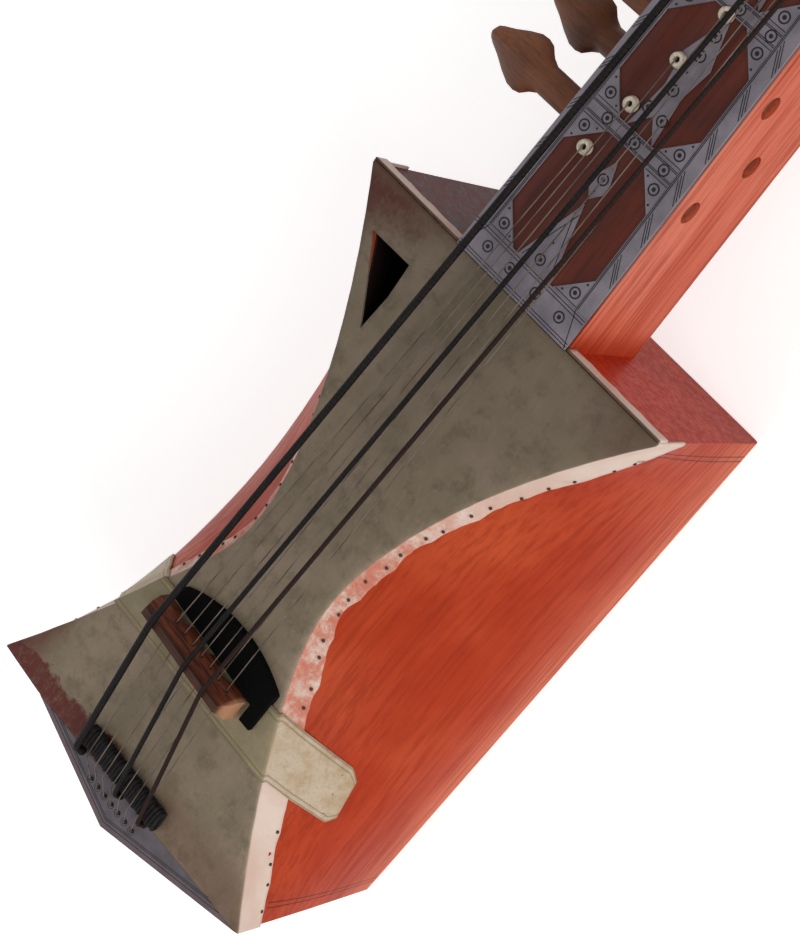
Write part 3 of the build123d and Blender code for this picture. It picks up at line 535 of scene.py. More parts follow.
# The strap is painted paler down the sides than on top: partly the rawhide over solid wood, partly painted
# light on the lit sides.
strap_on_side = strip.ramp(strip.z, strap_top - 0.6 * mm, strap_top - 2.4 * mm)
strap_tone = strip.mix(strap_on_side, strap_top_tone, strap_side)
across_strap = strip.tree.nodes.new("ShaderNodeAttribute")
across_strap.attribute_name = "across"
from_middle = strip.math("ABSOLUTE", across_strap.outputs["Fac"])
inner_line = strip.line(from_middle, 0.80, 0.03)
outer_line = strip.line(from_middle, 0.965, 0.03)
pressed = strip.most(inner_line, outer_line)
strap_tone = strip.mix(strip.mul(pressed, 0.45), strap_tone, colour(120, 96, 60))
strip.paint(strap_tone)
strap_height = strip.sub(strap_fleck, strip.mul(pressed, 1.2))
strip.bump(strap_height, 0.35 * mm, 0.7)

strap_columns = 20
side_steps = 22


def strap_row(side, down, middle_y):
    """One row across the strap: down is 0 at the fold and 1 at the nailed end."""
    end_gap = (1 - down) * (rim_z - strap_end_z)
    narrow = max(0.0, strap_corner - end_gap)
    half = strap_half - narrow
    z = fold_foot - (fold_foot - strap_end_z) * down
    row = []
    for column in range(strap_columns + 1):
        y = middle_y + half * (2 * column / strap_columns - 1)
        skin_end = skin_top - skin_drop(y)
        lift = strap_lift - 1.0 * mm * min(max((skin_end - z) / (5 * mm), 0), 1)
        row.append(Vector((wood_x(side, y, z) + side * lift, y, z)))
    return row


def strap_side_rows(side):
    rows = []
    for step in range(side_steps + 1):
        down = 1 - step / side_steps
        rows.append(strap_row(side, down, -strap_shift * down))
    for step in range(1, 4):
        row = []
        for column in range(strap_columns + 1):
            y = strap_half * (2 * column / strap_columns - 1)
            row.append(fold_line(side, y, strap_lift)[step - 1])
        rows.append(row)
    return rows


left_rows, right_rows = strap_side_rows(-1), strap_side_rows(1)
middle_rows = []
for step in range(1, 24):
    share = step / 24
    row = []
    for start, end in zip(left_rows[-1], right_rows[-1]):
        spot = start.lerp(end, share)
        row.append(Vector((spot.x, spot.y, strap_top)))
    middle_rows.append(row)
strap_rows = left_rows + middle_rows + right_rows[::-1]
strap = sheet_of("belly_strap", [row[::-1] for row in strap_rows], 1.0 * mm, strip)
across = strap.data.attributes.new("across", "FLOAT", "POINT")
row_size = strap_columns + 1
layer_size = row_size * len(strap_rows)
for index, item in enumerate(across.data):
    item.value = 2 * ((index % layer_size) % row_size) / strap_columns - 1
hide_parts("skin_strap")
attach(strap, "frame")

# Fixings: small forged tacks with domed heads along the skin, larger nails in the strap's ends.
iron = Finish("dark_iron", 0.48, Metallic=0.9)
rust_noise = iron.noise(0.7 * mm, detail=4)
iron.paint(iron.blend(rust_noise, (0.4, 0.7), colour(62, 52, 48), colour(98, 56, 38)))
iron.bump(rust_noise, 0.1 * mm, 0.5)


def named(piece, name):
    piece.name = name
    piece.data.name = name


def on_top(pattern, spots, name):
    """One piece made of a copy of the pattern at every place in spots, the pattern removed."""
    copies = []
    for spot in spots:
        copy = pattern.copy()
        copy.data = pattern.data.copy()
        copy.data.transform(spot)
        bpy.context.scene.collection.objects.link(copy)
        copies.append(copy)
    bpy.data.objects.remove(pattern)
    pick(*copies)
    bpy.ops.object.join()
    piece = bpy.context.active_object
    named(piece, name)
    return piece


def dome(radius, height):
    """A low domed nail head on the XY plane, its foot just below it."""
    pick()
    bpy.ops.mesh.primitive_uv_sphere_add(segments=14, ring_count=8, radius=radius)
    head = bpy.context.active_object
    edit()
    bpy.ops.mesh.bisect(plane_co=(0, 0, -0.3 * radius), plane_no=(0, 0, 1), clear_inner=True, use_fill=True)
    bpy.ops.mesh.select_all(action="SELECT")
    bpy.ops.transform.resize(value=(1, 1, height / radius))
    leave()
    head.data.shade_smooth()
    return head


def on_wall(side, y, z, lift):
    """A place on the block's side wall, its Z axis straight out of the wood."""
    _, place, normal, _ = block.ray_cast(Vector((side * ray_start, y, z)), Vector((-side, 0, 0)))
    return Matrix.Translation(place + normal * lift) @ normal.to_track_quat("Z", "Y").to_matrix().to_4x4()


tack_spots = []
for side in (-1, 1):
    for step in range(26):
        y = -61 * mm + step * 9.9 * mm + 1.6 * mm * math.sin(step * 2.7)
        if abs(y + 4 * mm) > 22 * mm:
            z = skin_top - skin_drop(y) + 1.1 * mm + 0.4 * mm * math.sin(step * 4.1)
            tack_spots.append(on_wall(side, y, z, skin_thick - 0.1 * mm))
tacks = on_top(dome(0.75 * mm, 0.4 * mm), tack_spots, "skin_tacks_fine")
tacks.data.materials.append(iron.material)
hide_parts("skin_tacks")
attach(tacks, "frame")

nail_spots = []
for side in (-1, 1):
    for offset in (-9.1, 0.0, 9.1):
        z = strap_end_z + 6 * mm
        nail_spots.append(on_wall(side, offset * mm - strap_shift, z, 1.45 * mm))
nails = on_top(dome(0.9 * mm, 0.45 * mm), nail_spots, "strap_nail_heads")
nails.data.materials.append(iron.material)
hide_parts("strap_nails")
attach(nails, "frame")

# Fingerboard: a dark rosewood panel with bone let in flush, the bone engraved and the cuts rubbed
# with black lac.
panel = Finish("dark_panel", 0.38)
panel_grain = panel.noise(1.4 * mm, stretch=(1, 22, 1), detail=5, rough=0.65)
panel_cloud = panel.noise(14 * mm, stretch=(1, 3, 1), detail=3, seed=1.1)
panel_tone = panel.blend(panel_cloud, (0.3, 0.72), colour(74, 26, 15), colour(96, 36, 20))
panel_tone = panel.blend(panel_grain, (0.45, 0.75, 0, 0.6), panel_tone, colour(44, 14, 10))
panel.paint(panel_tone)
panel.bump(panel_grain, 0.2 * mm, 0.6)
dress("fingerboard_panel", panel)

bone = Finish("old_bone", 0.4)
bone_cloud = bone.noise(12 * mm, detail=4, seed=0.4)
bone_streak = bone.noise(0.9 * mm, stretch=(1, 9, 1), detail=4, rough=0.6, seed=2.0)
bone_tone = bone.blend(bone_cloud, (0.35, 0.68), colour(132, 126, 134), colour(112, 106, 116))
bone_tone = bone.blend(bone_streak, (0.52, 0.78, 0, 0.4), bone_tone, colour(96, 88, 94))
bone.paint(bone_tone)
bone.bump(bone_streak, 0.12 * mm, 0.5)
bone_nodes = ("inlay_lower_band", "inlay_borders", "inlay_cross_bands", "inlay_corners")
bone_nodes += ("inlay_spike", "inlay_lozenge", "inlay_spears", "nut", "head_face_plate")
for node in bone_nodes:
    dress(node, bone)

lac = Finish("black_lac", 0.6)
lac_wear = lac.noise(1.1 * mm, detail=4)
lac.paint(lac.blend(lac_wear, (0.5, 0.75), colour(26, 24, 28), colour(58, 52, 58)))
lac.bump(lac_wear, 0.05 * mm, 0.4)


def ring_mark(radius, width, dot):
    """A cut ring with a dot in its middle, as one flat piece on the XY plane."""
    pick()
    bpy.ops.mesh.primitive_circle_add(vertices=28, radius=radius, fill_type="NGON")
    ring = bpy.context.active_object
    edit("FACE")
    bpy.ops.mesh.inset(thickness=width)
    bpy.ops.mesh.delete(type="FACE")
    bpy.ops.mesh.primitive_circle_add(vertices=14, radius=dot, fill_type="NGON")
    leave()
    modify(ring, "SOLIDIFY", thickness=0.12 * mm, offset=0.0)
    return ring


def cut_mark(width):
    """A cut one metre long and width across, from the origin along X, to be scaled to its length."""
    pick()
    bpy.ops.mesh.primitive_cube_add(size=1, location=(0.5, 0, 0), scale=(1, width, 0.1 * mm))
    bpy.ops.object.transform_apply(location=True, rotation=True, scale=True)
    return bpy.context.active_object


def stroke(start, end, z):
    """Where a cut lies that runs from start to end, in millimetres."""
    way = Vector((end[0] - start[0], end[1] - start[1])) * mm
    turned = Matrix.Rotation(math.atan2(way.y, way.x), 4, "Z")
    longer = Matrix.Diagonal((way.length, 1, 1, 1))
    return Matrix.Translation((start[0] * mm, start[1] * mm, z)) @ turned @ longer


def engraving(name, marks):
    """Joins several sets of marks into one piece of lac."""
    pick(*marks)
    bpy.ops.object.join()
    piece = bpy.context.active_object
    named(piece, name)
    piece.data.materials.clear()
    piece.data.materials.append(lac.material)
    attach(piece, "frame")


inlay_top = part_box("inlay_lower_band")[1].z
border_width = 6.6
band_pitch = 58.6
first_band_y = 273.2
figure_x = 0.8


def neck_half(y):
    return 30.5 - 0.0275 * (y - 200)


def flat_spots(places, z):
    return [Matrix.Translation((x * mm, y * mm, z)) for x, y in places]


ring_places = [(-19.3, 208.3), (-6.8, 208.3), (7.5, 208.3), (20.8, 208.3)]
dot_places = []
cuts = []
edge = neck_half(202) - 0.3
for y in (202.0, 203.2, 212.4, 213.7):
    cuts.append(((-edge, y), (edge, y)))
bands = [first_band_y + band_pitch * step for step in range(3)]
cell_starts = [214.6] + [band + 3.2 for band in bands[:2]]
for band in bands:
    inner = neck_half(band) - border_width
    ring_places += [(-12.9, band), (1.7, band), (16.9, band)]
    for offset in (-2.5, -1.9, 1.9, 2.5):
        cuts.append(((-inner, band + offset), (inner, band + offset)))
for start, band in zip(cell_starts, bands):
    for y, sign in ((start + 4.4, 1), (band - 7.4, -1)):
        inner = neck_half(y) - border_width
        for side in (-1, 1):
            ring_places.append((side * (inner - 3.6), y))
            dot_places.append((side * (inner - 8.6), y - sign * 2.2))
            dot_places.append((side * (inner - 1.6), y + sign * 5.4))
            cuts.append(((side * (inner - 11), y - sign * 3.6), (side * inner, y - sign * 3.6)))
ring_places += [(figure_x, 218.7), (figure_x, 256.0)]
dot_places += [(figure_x, 226.6), (figure_x, 250.8), (figure_x, 261.0)]
cuts += [((-6.6, 215.6), (2.0, 240.5)), ((8.6, 215.6), (0.0, 240.5))]
for start, band in zip(cell_starts[1:], bands[1:]):
    middle = (start + band - 3.2) / 2
    ring_places += [(figure_x - 3.9, start + 9.6), (figure_x + 3.9, start + 9.0)]
    ring_places += [(figure_x, middle - 6.5), (figure_x, middle + 8.5), (figure_x, middle + 17.0)]
    dot_places += [(figure_x, middle + 1.4)]
for side in (-1, 1):
    for offset in (0.5, 1.1):
        start_x = neck_half(215) - border_width + offset
        end_x = neck_half(411) - border_width + offset
        cuts.append(((side * start_x, 215), (side * end_x, 411)))
    cuts.append(((side * (neck_half(215) - 6), 214.8), (side * (neck_half(202) - 0.6), 201.2)))
    for group in range(10):
        for tick in range(3):
            y = 229.0 + 18.5 * group + 1.9 * tick
            outer = neck_half(y) - 0.5
            cuts.append(((side * outer, y), (side * (outer - 4.6), y + 8.2)))
rings = on_top(ring_mark(2.35 * mm, 0.6 * mm, 0.85 * mm), flat_spots(ring_places, inlay_top), "rings")
dots = on_top(dome(0.45 * mm, 0.06 * mm), flat_spots(dot_places, inlay_top), "dots")
lines = on_top(cut_mark(0.34 * mm), [stroke(*cut, inlay_top) for cut in cuts], "lines")
engraving("fingerboard_engraving", [rings, dots, lines])

# Face plate of the head: bone like the neck's, glued on flush, with a rim line and a row of
# rings.
face_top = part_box("head_face_plate")[1].z
face_rings = [(side * 26.5, 447 + 13 * step) for side in (-1, 1) for step in range(6)]
face_rings += [(0, 528.0), (-11, 523.5), (11, 523.5)]
face_cuts = []
for side in (-1, 1):
    face_cuts += [((side * 30, 441), (side * 30, 512)), ((side * 23.2, 424), (side * 23.2, 511))]
    for step in range(8):
        first, last = math.radians(4 + 10.75 * step), math.radians(4 + 10.75 * (step + 1))
        start = (side * 30.0 * math.cos(first), 512 + 34.8 * math.sin(first))
        end = (side * 30.0 * math.cos(last), 512 + 34.8 * math.sin(last))
        face_cuts.append((start, end))
face_spots = flat_spots(face_rings, face_top)
face_marks = on_top(ring_mark(2.1 * mm, 0.55 * mm, 0.75 * mm), face_spots, "face_rings")
face_lines = on_top(cut_mark(0.34 * mm), [stroke(*cut, face_top) for cut in face_cuts], "face_lines")
engraving("head_engraving", [face_marks, face_lines])

# Tail plate: bone again, dirty along its rim, seven wire holes each with a thin ring, and pairs of
# cuts inside both lower edges.
horn = Finish("tail_bone", 0.42)
tail_cloud = horn.noise(7 * mm, detail=5, seed=0.9)
tail_fleck = horn.noise(1.1 * mm, detail=4, rough=0.7, seed=3.3)
tail_tone = horn.blend(tail_cloud, (0.35, 0.7), colour(102, 95, 100), colour(86, 80, 87))
right_slope = horn.add(horn.mul(horn.x, -0.2725), horn.y)
left_slope = horn.add(horn.mul(horn.x, 0.2703), horn.y)
rim_depth = horn.math("MINIMUM", horn.add(right_slope, 88.8 * mm), horn.add(left_slope, 87.2 * mm))
rim_dirt = horn.mul(horn.ramp(rim_depth, 3.4 * mm, 2.4 * mm), horn.ramp(tail_fleck, 0.42, 0.6))
tail_tone = horn.mix(horn.mul(rim_dirt, 0.8), tail_tone, colour(112, 82, 84))
horn.paint(tail_tone)
horn.bump(tail_fleck, 0.12 * mm, 0.5)
dress("tail_plate", horn)
plate_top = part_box("tail_plate")[1].z
hole_x = [1.2 + 4.85 * (step - 3) for step in range(7)]
plate_rings = [(x - 0.5, -77.2) for x in hole_x]
plate_cuts = []
for inset in (2.6, 4.2, 5.0):
    point = (3.0, -88.0 + inset)
    for end_x, end_y, way in ((-57.0, -71.8, 1), (76.0, -67.9, -1)):
        plate_cuts.append((point, (end_x + way * inset * 3.2, end_y + inset * 0.15)))
plate_spots = flat_spots(plate_rings, plate_top)
plate_marks = on_top(ring_mark(1.75 * mm, 0.2 * mm, 0.85 * mm), plate_spots, "plate_rings")
plate_lines = on_top(cut_mark(0.3 * mm), [stroke(*cut, plate_top) for cut in plate_cuts], "plate_lines")
engraving("tail_plate_engraving", [plate_marks, plate_lines])

# Eyelets: little turned bone beads, glued to the fingerboard over the holes where the wires go
# down into the neck.
bead = Finish("bead_bone", 0.35)
bead_cloud = bead.noise(1.5 * mm, detail=4)
bead.paint(bead.blend(bead_cloud, (0.35, 0.7), colour(226, 214, 196), colour(196, 180, 160)))
bead.bump(bead_cloud, 0.08 * mm, 0.4)
panel_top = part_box("wire_eyelets")[0].z
pick()
bpy.ops.mesh.primitive_circle_add(vertices=32, radius=1.0 * mm, fill_type="NOTHING")
eyelet = bpy.context.active_object
edit()
bead_profile = [(2.95, 0.0), (3.1, 0.5), (2.95, 1.3), (2.6, 1.9), (2.7, 2.4), (2.3, 2.75)]
bead_profile += [(1.6, 2.8), (1.15, 2.4), (1.0, 1.4), (1.0, 0.0)]
last_radius, last_z = 1.0, 0.0
for radius, z in bead_profile:
    bpy.ops.mesh.extrude_region_move(TRANSFORM_OT_translate={"value": (0, 0, (z - last_z) * mm)})
    share = radius / last_radius
    bpy.ops.transform.resize(value=(share, share, 1))
    last_radius, last_z = radius, z
bpy.ops.mesh.select_all(action="SELECT")
bpy.ops.mesh.remove_doubles(threshold=0.01 * mm)
bpy.ops.mesh.normals_make_consistent(inside=False)
leave()
eyelet.data.shade_smooth()
eyelet_places = [(-12.8 + 3.9 * step, 260.1 + 22.5 * step) for step in range(7)]
eyelets = on_top(eyelet, flat_spots(eyelet_places, panel_top), "eyelet_beads")
eyelets.data.materials.append(bead.material)
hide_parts("wire_eyelets")
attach(eyelets, "frame")

# Bridge: a hand-cut hardwood block, thick at the foot and thin at its top edge, with arches
# between its feet and a row of bores for the wires.
carved = Finish("bridge_wood", 0.5)
bridge_grain = carved.noise(1.1 * mm, stretch=(14, 1, 1.6), turned=(0, 0, -0.07), detail=5, rough=0.7)
bridge_cloud = carved.noise(8 * mm, stretch=(2, 1, 1), detail=3, seed=1.0)
bridge_tone = carved.blend(bridge_cloud, (0.3, 0.7), colour(98, 46, 27), colour(124, 64, 38))
bridge_tone = carved.blend(bridge_grain, (0.42, 0.62, 0, 0.85), bridge_tone, colour(34, 14, 10))
# The right end, facing the right lamp, is painted pale: a painted highlight.
lit_end_highlight = carved.ramp(carved.x, 17.5 * mm, 20.0 * mm, 0, 0.75)
bridge_tone = carved.mix(lit_end_highlight, bridge_tone, colour(196, 146, 112))
top_dark = carved.ramp(carved.z, 113.5 * mm, 115.8 * mm, 0, 0.75)
bridge_tone = carved.mix(top_dark, bridge_tone, colour(48, 28, 22))
carved.paint(bridge_tone)
carved.bump(bridge_grain, 0.6 * mm, 1.0)

bridge_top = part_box("bridge")[1].z
bridge_middle = Vector((-8.0, 3.0, 0)) * mm
bridge_turn = Matrix.Rotation(math.radians(-4.0), 4, "Z")
half_long, half_thick = 28.3 * mm, 5.1 * mm
bridge_tall = bridge_top - strap_top
pick()
bpy.ops.mesh.primitive_cube_add(size=1, scale=(2 * half_long, 2 * half_thick, bridge_tall * 0.42))
bridge = bpy.context.active_object
bpy.ops.object.transform_apply(location=True, rotation=True, scale=True)
bridge.data.transform(Matrix.Translation((0, 0, bridge_tall * 0.21)))
bpy.ops.object.mode_set(mode="EDIT")
bpy.ops.mesh.select_mode(type="FACE")
bpy.ops.mesh.select_all(action="DESELECT")
leave()
for face in bridge.data.polygons:
    face.select = face.normal.z > 0.9
bpy.ops.object.mode_set(mode="EDIT")
for rise, long_share, thick_share in ((0.30, 0.97, 0.62), (0.20, 0.95, 0.66), (0.08, 0.985, 0.8)):
    bpy.ops.mesh.extrude_region_move(TRANSFORM_OT_translate={"value": (0, 0, bridge_tall * rise)})
    bpy.ops.transform.resize(value=(long_share, thick_share, 1))
leave()
for x in (-15.0, 0.0, 15.0):
    bpy.ops.mesh.primitive_cylinder_add(
        vertices=28, radius=4.1 * mm, depth=30 * mm, location=(x * mm, 0, 0), rotation=(math.pi / 2, 0, 0)
    )
    cut_with(bridge, bpy.context.active_object)
for step in range(7):
    bore_x = (-22.5 + 6 * step + 8.0) * mm
    bpy.ops.mesh.primitive_cylinder_add(
        vertices=12,
        radius=0.8 * mm,
        depth=30 * mm,
        location=(bore_x, 0, 7.6 * mm),
        rotation=(math.pi / 2, 0, 0),
    )
    cut_with(bridge, bpy.context.active_object)
modify(bridge, "BEVEL", width=0.55 * mm, segments=2, limit_method="ANGLE", angle_limit=math.radians(40))
bridge.data.transform(Matrix.Translation(bridge_middle + Vector((0, 0, strap_top))) @ bridge_turn)
named(bridge, "bridge_carved")
bridge.data.materials.append(carved.material)
bridge.data.shade_flat()
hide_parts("bridge")
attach(bridge, "frame")

# Pad: a thin black crescent laid on the belly in front of the bridge, where the belly shows black, its edge
# rounded.
pad_finish = Finish("black_leather", 0.85, Specular_IOR_Level=0.06)
pad_cells = pad_finish.noise(1.3 * mm, detail=5, rough=0.7)
pad_finish.paint(pad_finish.blend(pad_cells, (0.45, 0.75), colour(4, 4, 4), colour(12, 10, 10)))
pad_finish.bump(pad_cells, 0.25 * mm, 0.7)
pad = nodes["bridge_pad"].copy()
pad.data = nodes["bridge_pad"].data.copy()
pad.animation_data_clear()
for key in list(pad.keys()):
    del pad[key]
pad.parent = None
named(pad, "bridge_pad_black")
bpy.context.scene.collection.objects.link(pad)
pick(pad)
edit()
bpy.ops.mesh.remove_doubles(threshold=0.02 * mm)
bpy.ops.mesh.dissolve_limited(angle_limit=math.radians(2))
leave()
modify(pad, "BEVEL", width=1.1 * mm, segments=4, limit_method="ANGLE", angle_limit=math.radians(50))
pad.data.materials.clear()
pad.data.materials.append(pad_finish.material)
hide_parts("bridge_pad")
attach(pad, "frame")

# Tail bar: a stick bound over and over with black cord. It lies across the tail and holds the
# strings off the skin.
bar_low, bar_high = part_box("tail_bar")
bar_middle = (bar_low + bar_high) / 2
bar_wide, bar_tall = bar_high.y - bar_low.y, bar_high.z - bar_low.z
cord_half = 0.95 * mm
pick()
bpy.ops.mesh.primitive_torus_add(
    major_radius=1.0, minor_radius=0.2, major_segments=36, minor_segments=8, rotation=(0, math.pi / 2, 0)
)
turn_of_cord = bpy.context.active_object
bpy.ops.object.transform_apply(location=True, rotation=True, scale=True)
for vertex in turn_of_cord.data.vertices:
    angle = math.atan2(vertex.co.z, vertex.co.y)
    out = math.hypot(vertex.co.y, vertex.co.z) - 1.0
    square = (abs(math.cos(angle)) ** 4 + abs(math.sin(angle)) ** 4) ** -0.25
    ring_y = math.cos(angle) * square * (bar_wide / 2 - cord_half)
    ring_z = math.sin(angle) * square * (bar_tall / 2 - cord_half)
    ring_y = max(min(ring_y, bar_wide / 2 - cord_half), cord_half - bar_wide / 2)
    ring_z = max(min(ring_z, bar_tall / 2 - cord_half), cord_half - bar_tall / 2)
    thick = out / 0.2 * cord_half
    along = vertex.co.x / 0.2 * cord_half
    vertex.co = (along, ring_y + math.cos(angle) * thick, ring_z + math.sin(angle) * thick)
turn_of_cord.data.shade_smooth()
turns = int((bar_high.x - bar_low.x) / (1.8 * mm))
turn_spots = []
for step in range(turns):
    x = bar_low.x + cord_half + (bar_high.x - bar_low.x - 2 * cord_half) * step / (turns - 1)
    lean = Matrix.Rotation(math.radians(2.5 * math.sin(step * 1.9)), 4, "Z")
    size = Matrix.Scale(0.96 + 0.04 * math.sin(step * 2.3), 4)
    turn_spots.append(Matrix.Translation((x, bar_middle.y, bar_middle.z)) @ lean @ size)
binding = on_top(turn_of_cord, turn_spots, "tail_bar_binding")
cord = Finish("black_cord", 0.8)
cord_fuzz = cord.noise(0.6 * mm, stretch=(1, 4, 4), turned=(0.5, 0.4, 0.3), detail=4)
cord.paint(cord.blend(cord_fuzz, (0.45, 0.75), colour(17, 15, 16), colour(44, 38, 38)))
cord.bump(cord_fuzz, 0.25 * mm, 0.9)
binding.data.materials.append(cord.material)
pick()
bpy.ops.mesh.primitive_cube_add(size=1, location=bar_middle)
bar_core = bpy.context.active_object
bar_core.scale = (bar_high.x - bar_low.x - 2.5 * mm, bar_wide - 2.2 * mm, bar_tall - 2.0 * mm)
bpy.ops.object.transform_apply(location=True, rotation=True, scale=True)
modify(bar_core, "BEVEL", width=1.2 * mm, segments=3)
bar_core.data.materials.append(cord.material)
named(bar_core, "tail_bar_core")
for piece in (binding, bar_core):
    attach(piece, "frame")
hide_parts("tail_bar")

# Gut strings: three thick twisted guts, black with use. Each is knotted behind the tail bar, goes
# over the bar, the bridge and the nut, and down to its peg.
gut = Finish("black_gut", 0.6, Specular_IOR_Level=0.12)
twist = gut.tree.nodes.new("ShaderNodeTexWave")
twist.inputs["Scale"].default_value = 300.0
twist.inputs["Distortion"].default_value = 1.2
twist.bands_direction = "DIAGONAL"
link(gut.tree, gut.place, twist.inputs["Vector"])
gut_fuzz = gut.noise(1.2 * mm, stretch=(1, 6, 1), detail=4)
gut_tone = gut.blend(gut_fuzz, (0.4, 0.75), colour(9, 8, 9), colour(30, 22, 20))
brown_share = gut.ramp(gut.x, 2 * mm, 12 * mm, 0, 0.5)
gut.paint(gut.mix(brown_share, gut_tone, colour(44, 24, 18)))
gut.bump(gut.add(twist.outputs["Fac"], gut_fuzz), 0.25 * mm, 0.8)

nut_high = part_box("nut")[1].z
bar_top = bar_high.z
# Each gut's radius, its knot's radius, its place at the bar, bridge and nut, and its main peg.
gut_table = [
    (1.5, 2.9, -24.5, -26.6, -15.6, 1),
    (1.05, 2.1, 2.4, -3.7, 5.9, 3),
    (0.95, 1.9, 18.6, 9.2, 17.1, 2),
]
string_gap = 0.05 * mm


def tube(name, points, radius):
    """A round string through the points, with flat ends."""
    data = bpy.data.curves.new(name, "CURVE")
    data.dimensions = "3D"
    data.bevel_depth = radius
    data.bevel_resolution = 4
    data.use_fill_caps = True
    spline = data.splines.new("POLY")
    spline.points.add(len(points) - 1)
    for spot, point in zip(spline.points, points):
        spot.co = (*point, 1.0)
    piece = bpy.data.objects.new(name, data)
    bpy.context.scene.collection.objects.link(piece)
    pick(piece)
    bpy.ops.object.convert(target="MESH")
    made = bpy.context.active_object
    named(made, name)
    made.data.materials.clear()
    made.data.materials.append(gut.material)
    made.data.shade_smooth()
    return made


def eased(points, reach):
    """The same route with each inner corner cut by a short curve."""
    made = [points[0]]
    for before, corner, after in zip(points, points[1:], points[2:]):
        first = corner + (before - corner).normalized() * reach
        last = corner + (after - corner).normalized() * reach
        for step in range(5):
            share = step / 4
            made.append(first.lerp(corner, share).lerp(corner.lerp(last, share), share))
    return made + [points[-1]]


for number, (radius, knot_radius, tail_x, cross_x, nut_x, peg_number) in enumerate(gut_table, 1):
    winding_low, winding_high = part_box(f"gut_winding_{peg_number}")
    peg_y = (winding_low.y + winding_high.y) / 2
    cross_y = (3.0 - (cross_x + 8.0) * math.tan(math.radians(4))) * mm
    radius, knot_radius = radius * mm, knot_radius * mm
    tail_x, cross_x, nut_x = tail_x * mm, cross_x * mm, nut_x * mm
    lift = radius + string_gap
    knot = Vector((tail_x, bar_low.y - knot_radius - string_gap, skin_top + knot_radius + string_gap))
    route = [
        knot,
        Vector((tail_x, bar_low.y - lift, bar_top + lift)),
        Vector((cross_x, cross_y, bridge_top + lift)),
        Vector((nut_x, 417.5 * mm, nut_high + lift)),
        Vector((nut_x, peg_y, winding_high.z + 0.3 * mm + radius)),
    ]
    string = tube(f"gut_{number}", eased(route, 2.2 * mm), radius)
    loops = [string]
    for turn_angle, size in ((20, 1.0), (85, 0.92), (-40, 0.96)):
        pick()
        bpy.ops.mesh.primitive_torus_add(
            major_radius=knot_radius * 0.58 * size,
            minor_radius=knot_radius * 0.40,
            major_segments=20,
            minor_segments=10,
            location=knot,
            rotation=(math.radians(90), math.radians(turn_angle), math.radians(turn_angle / 2)),
        )
        loop = bpy.context.active_object
        bpy.ops.object.transform_apply(location=True, rotation=True, scale=True)
        loop.data.shade_smooth()
        loop.data.materials.append(gut.material)
        loops.append(loop)
    pick(*loops)
    bpy.ops.object.join()
    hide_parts(f"gut_string_{number}")
    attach(string, "frame")

# Windings: each gut's spare length, coiled round its main peg in four even turns, which turn
# with the peg.
for number in range(1, 4):
    winding_low, winding_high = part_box(f"gut_winding_{number}")
    middle = (winding_low + winding_high) / 2
    outer = (winding_high.z - winding_low.z) / 2
    coil_half = 1.15 * mm
    pick()
    bpy.ops.mesh.primitive_torus_add(
        major_radius=outer - coil_half,
        minor_radius=coil_half,
        major_segments=40,
        minor_segments=10,
        rotation=(0, math.pi / 2 + 0.05, 0),
    )
    coil = bpy.context.active_object
    bpy.ops.object.transform_apply(location=True, rotation=True, scale=True)
    coil.data.shade_smooth()
    spots = []
    for step in range(4):
        x = winding_low.x + coil_half * 1.2 + (winding_high.x - winding_low.x - 2.4 * coil_half) * step / 3
        spots.append(Matrix.Translation((x, middle.y, middle.z)))
    winding = on_top(coil, spots, f"winding_{number}")
    winding.data.materials.append(gut.material)
    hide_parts(f"gut_winding_{number}")
    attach(winding, f"main_peg_{number}_turn")

# Sympathetic wires: seven thin drawn steel wires, dull with age, stretched from the tail plate
# to the side pegs.
steel = Finish("steel_wire", 0.45, Metallic=0.6)
steel_wear = steel.noise(2 * mm, stretch=(1, 8, 1), detail=3)
steel.paint(steel.blend(steel_wear, (0.4, 0.7), colour(112, 102, 94), colour(70, 56, 48)))
steel.bump(steel_wear, 0.03 * mm, 0.3)
dress("sympathetic_wires", steel)

# Pegs: carved hardwood, each a tapered shaft with a spade head that has a ridge down its middle,
# pushed into the bores of the neck and head.
peg_wood = Finish("peg_wood", 0.48)
peg_grain = peg_wood.noise(1.0 * mm, stretch=(14, 1, 1), detail=5, rough=0.65)
peg_cloud = peg_wood.noise(12 * mm, stretch=(2, 1, 1), detail=4, seed=0.8)
peg_tone = peg_wood.blend(peg_cloud, (0.35, 0.68), colour(96, 58, 40), colour(124, 76, 50))
peg_tone = peg_wood.blend(peg_grain, (0.45, 0.72, 0, 0.6), peg_tone, colour(58, 34, 25))
peg_wood.paint(peg_tone)
peg_wood.rough(peg_wood.ramp(peg_cloud, 0.3, 0.7, 0.4, 0.58))
peg_wood.bump(peg_grain, 0.3 * mm, 0.7)

# Sections of the spade: share of its length, half width and half thickness as shares of the whole,
# and how much of a lozenge the section is.
spade_sections = [
    (0.12, 0.34, 0.48, 0.6),
    (0.22, 0.465, 0.49, 1),
    (0.32, 0.5, 0.5, 1),
    (0.44, 0.485, 0.48, 1),
    (0.60, 0.39, 0.42, 1),
    (0.78, 0.255, 0.35, 1),
    (0.93, 0.165, 0.28, 1),
    (0.985, 0.12, 0.2, 1),
]


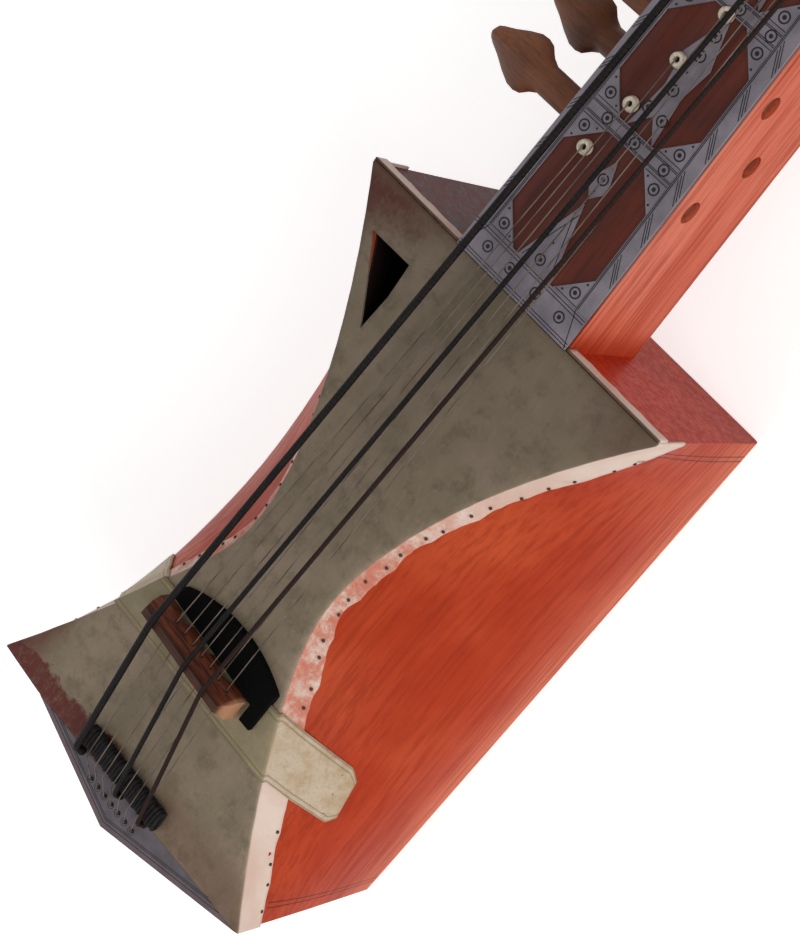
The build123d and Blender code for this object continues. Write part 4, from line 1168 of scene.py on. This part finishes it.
def spade_peg(name, node, body, shaft_radius, tip_radius, inner, head):
    """A peg along X drawn out of a circle, section by section, from its tip to its head's point."""
    low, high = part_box(node)
    side = 1 if high.x > -low.x else -1
    tip_x = low.x if side > 0 else -high.x
    end_x = high.x if side > 0 else -low.x
    length, width, thickness = head
    neck_x = end_x - length
    axis_y, axis_z = (low.y + high.y) / 2, (low.z + high.z) / 2
    sections = [
        (tip_x, tip_radius * 0.9, tip_radius * 0.9, 0),
        (tip_x + 0.6 * mm, tip_radius, tip_radius, 0),
        (-inner, tip_radius, tip_radius, 0),
        (inner, shaft_radius, shaft_radius, 0),
        (neck_x - 0.02 * length, shaft_radius, shaft_radius, 0),
        (neck_x + 0.03 * length, shaft_radius * 1.02, thickness * 0.46, 0.2),
    ]
    for share, wide, thick, faceted in spade_sections:
        sections.append((neck_x + share * length, width * wide, thickness * thick, faceted))
    sections.append((end_x, width * 0.07, thickness * 0.1, 1))
    segments = 24
    pick()
    bpy.ops.mesh.primitive_circle_add(vertices=segments, radius=1.0, fill_type="NOTHING")
    peg = bpy.context.active_object
    edit()
    for step in range(1, len(sections)):
        bpy.ops.mesh.extrude_region_move(TRANSFORM_OT_translate={"value": (0, 0, 1)})
    leave()
    for vertex in peg.data.vertices:
        along, half_wide, half_thick, faceted = sections[round(vertex.co.z)]
        angle = math.atan2(vertex.co.y, vertex.co.x)
        across, up = math.cos(angle), math.sin(angle)
        lozenge = 1 / (abs(across) ** 1.25 + abs(up) ** 1.25) ** 0.8
        reach = 1 + (lozenge - 1) * faceted
        vertex.co = (side * along, axis_y + across * reach * half_wide, axis_z + up * reach * half_thick)
    edit()
    bpy.ops.mesh.fill_holes(sides=segments)
    bpy.ops.mesh.select_all(action="SELECT")
    bpy.ops.mesh.normals_make_consistent(inside=False)
    leave()
    named(peg, name)
    peg.data.materials.append(peg_wood.material)
    bpy.ops.object.shade_smooth_by_angle(angle=math.radians(32))
    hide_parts(node)
    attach(peg, body)


side_head = (31 * mm, 23.5 * mm, 13 * mm)
main_head = (41 * mm, 30 * mm, 15 * mm)
for number in range(1, 8):
    node = f"side_peg_{number}"
    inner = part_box(node)[1].x - 5.5 * mm
    spade_peg(f"{node}_carved", node, f"{node}_turn", 6.2 * mm, 4.7 * mm, inner, side_head)
for number in range(1, 4):
    node = f"main_peg_{number}"
    spade_peg(f"{node}_carved", node, f"{node}_turn", 7.5 * mm, 6.0 * mm, 20 * mm, main_head)
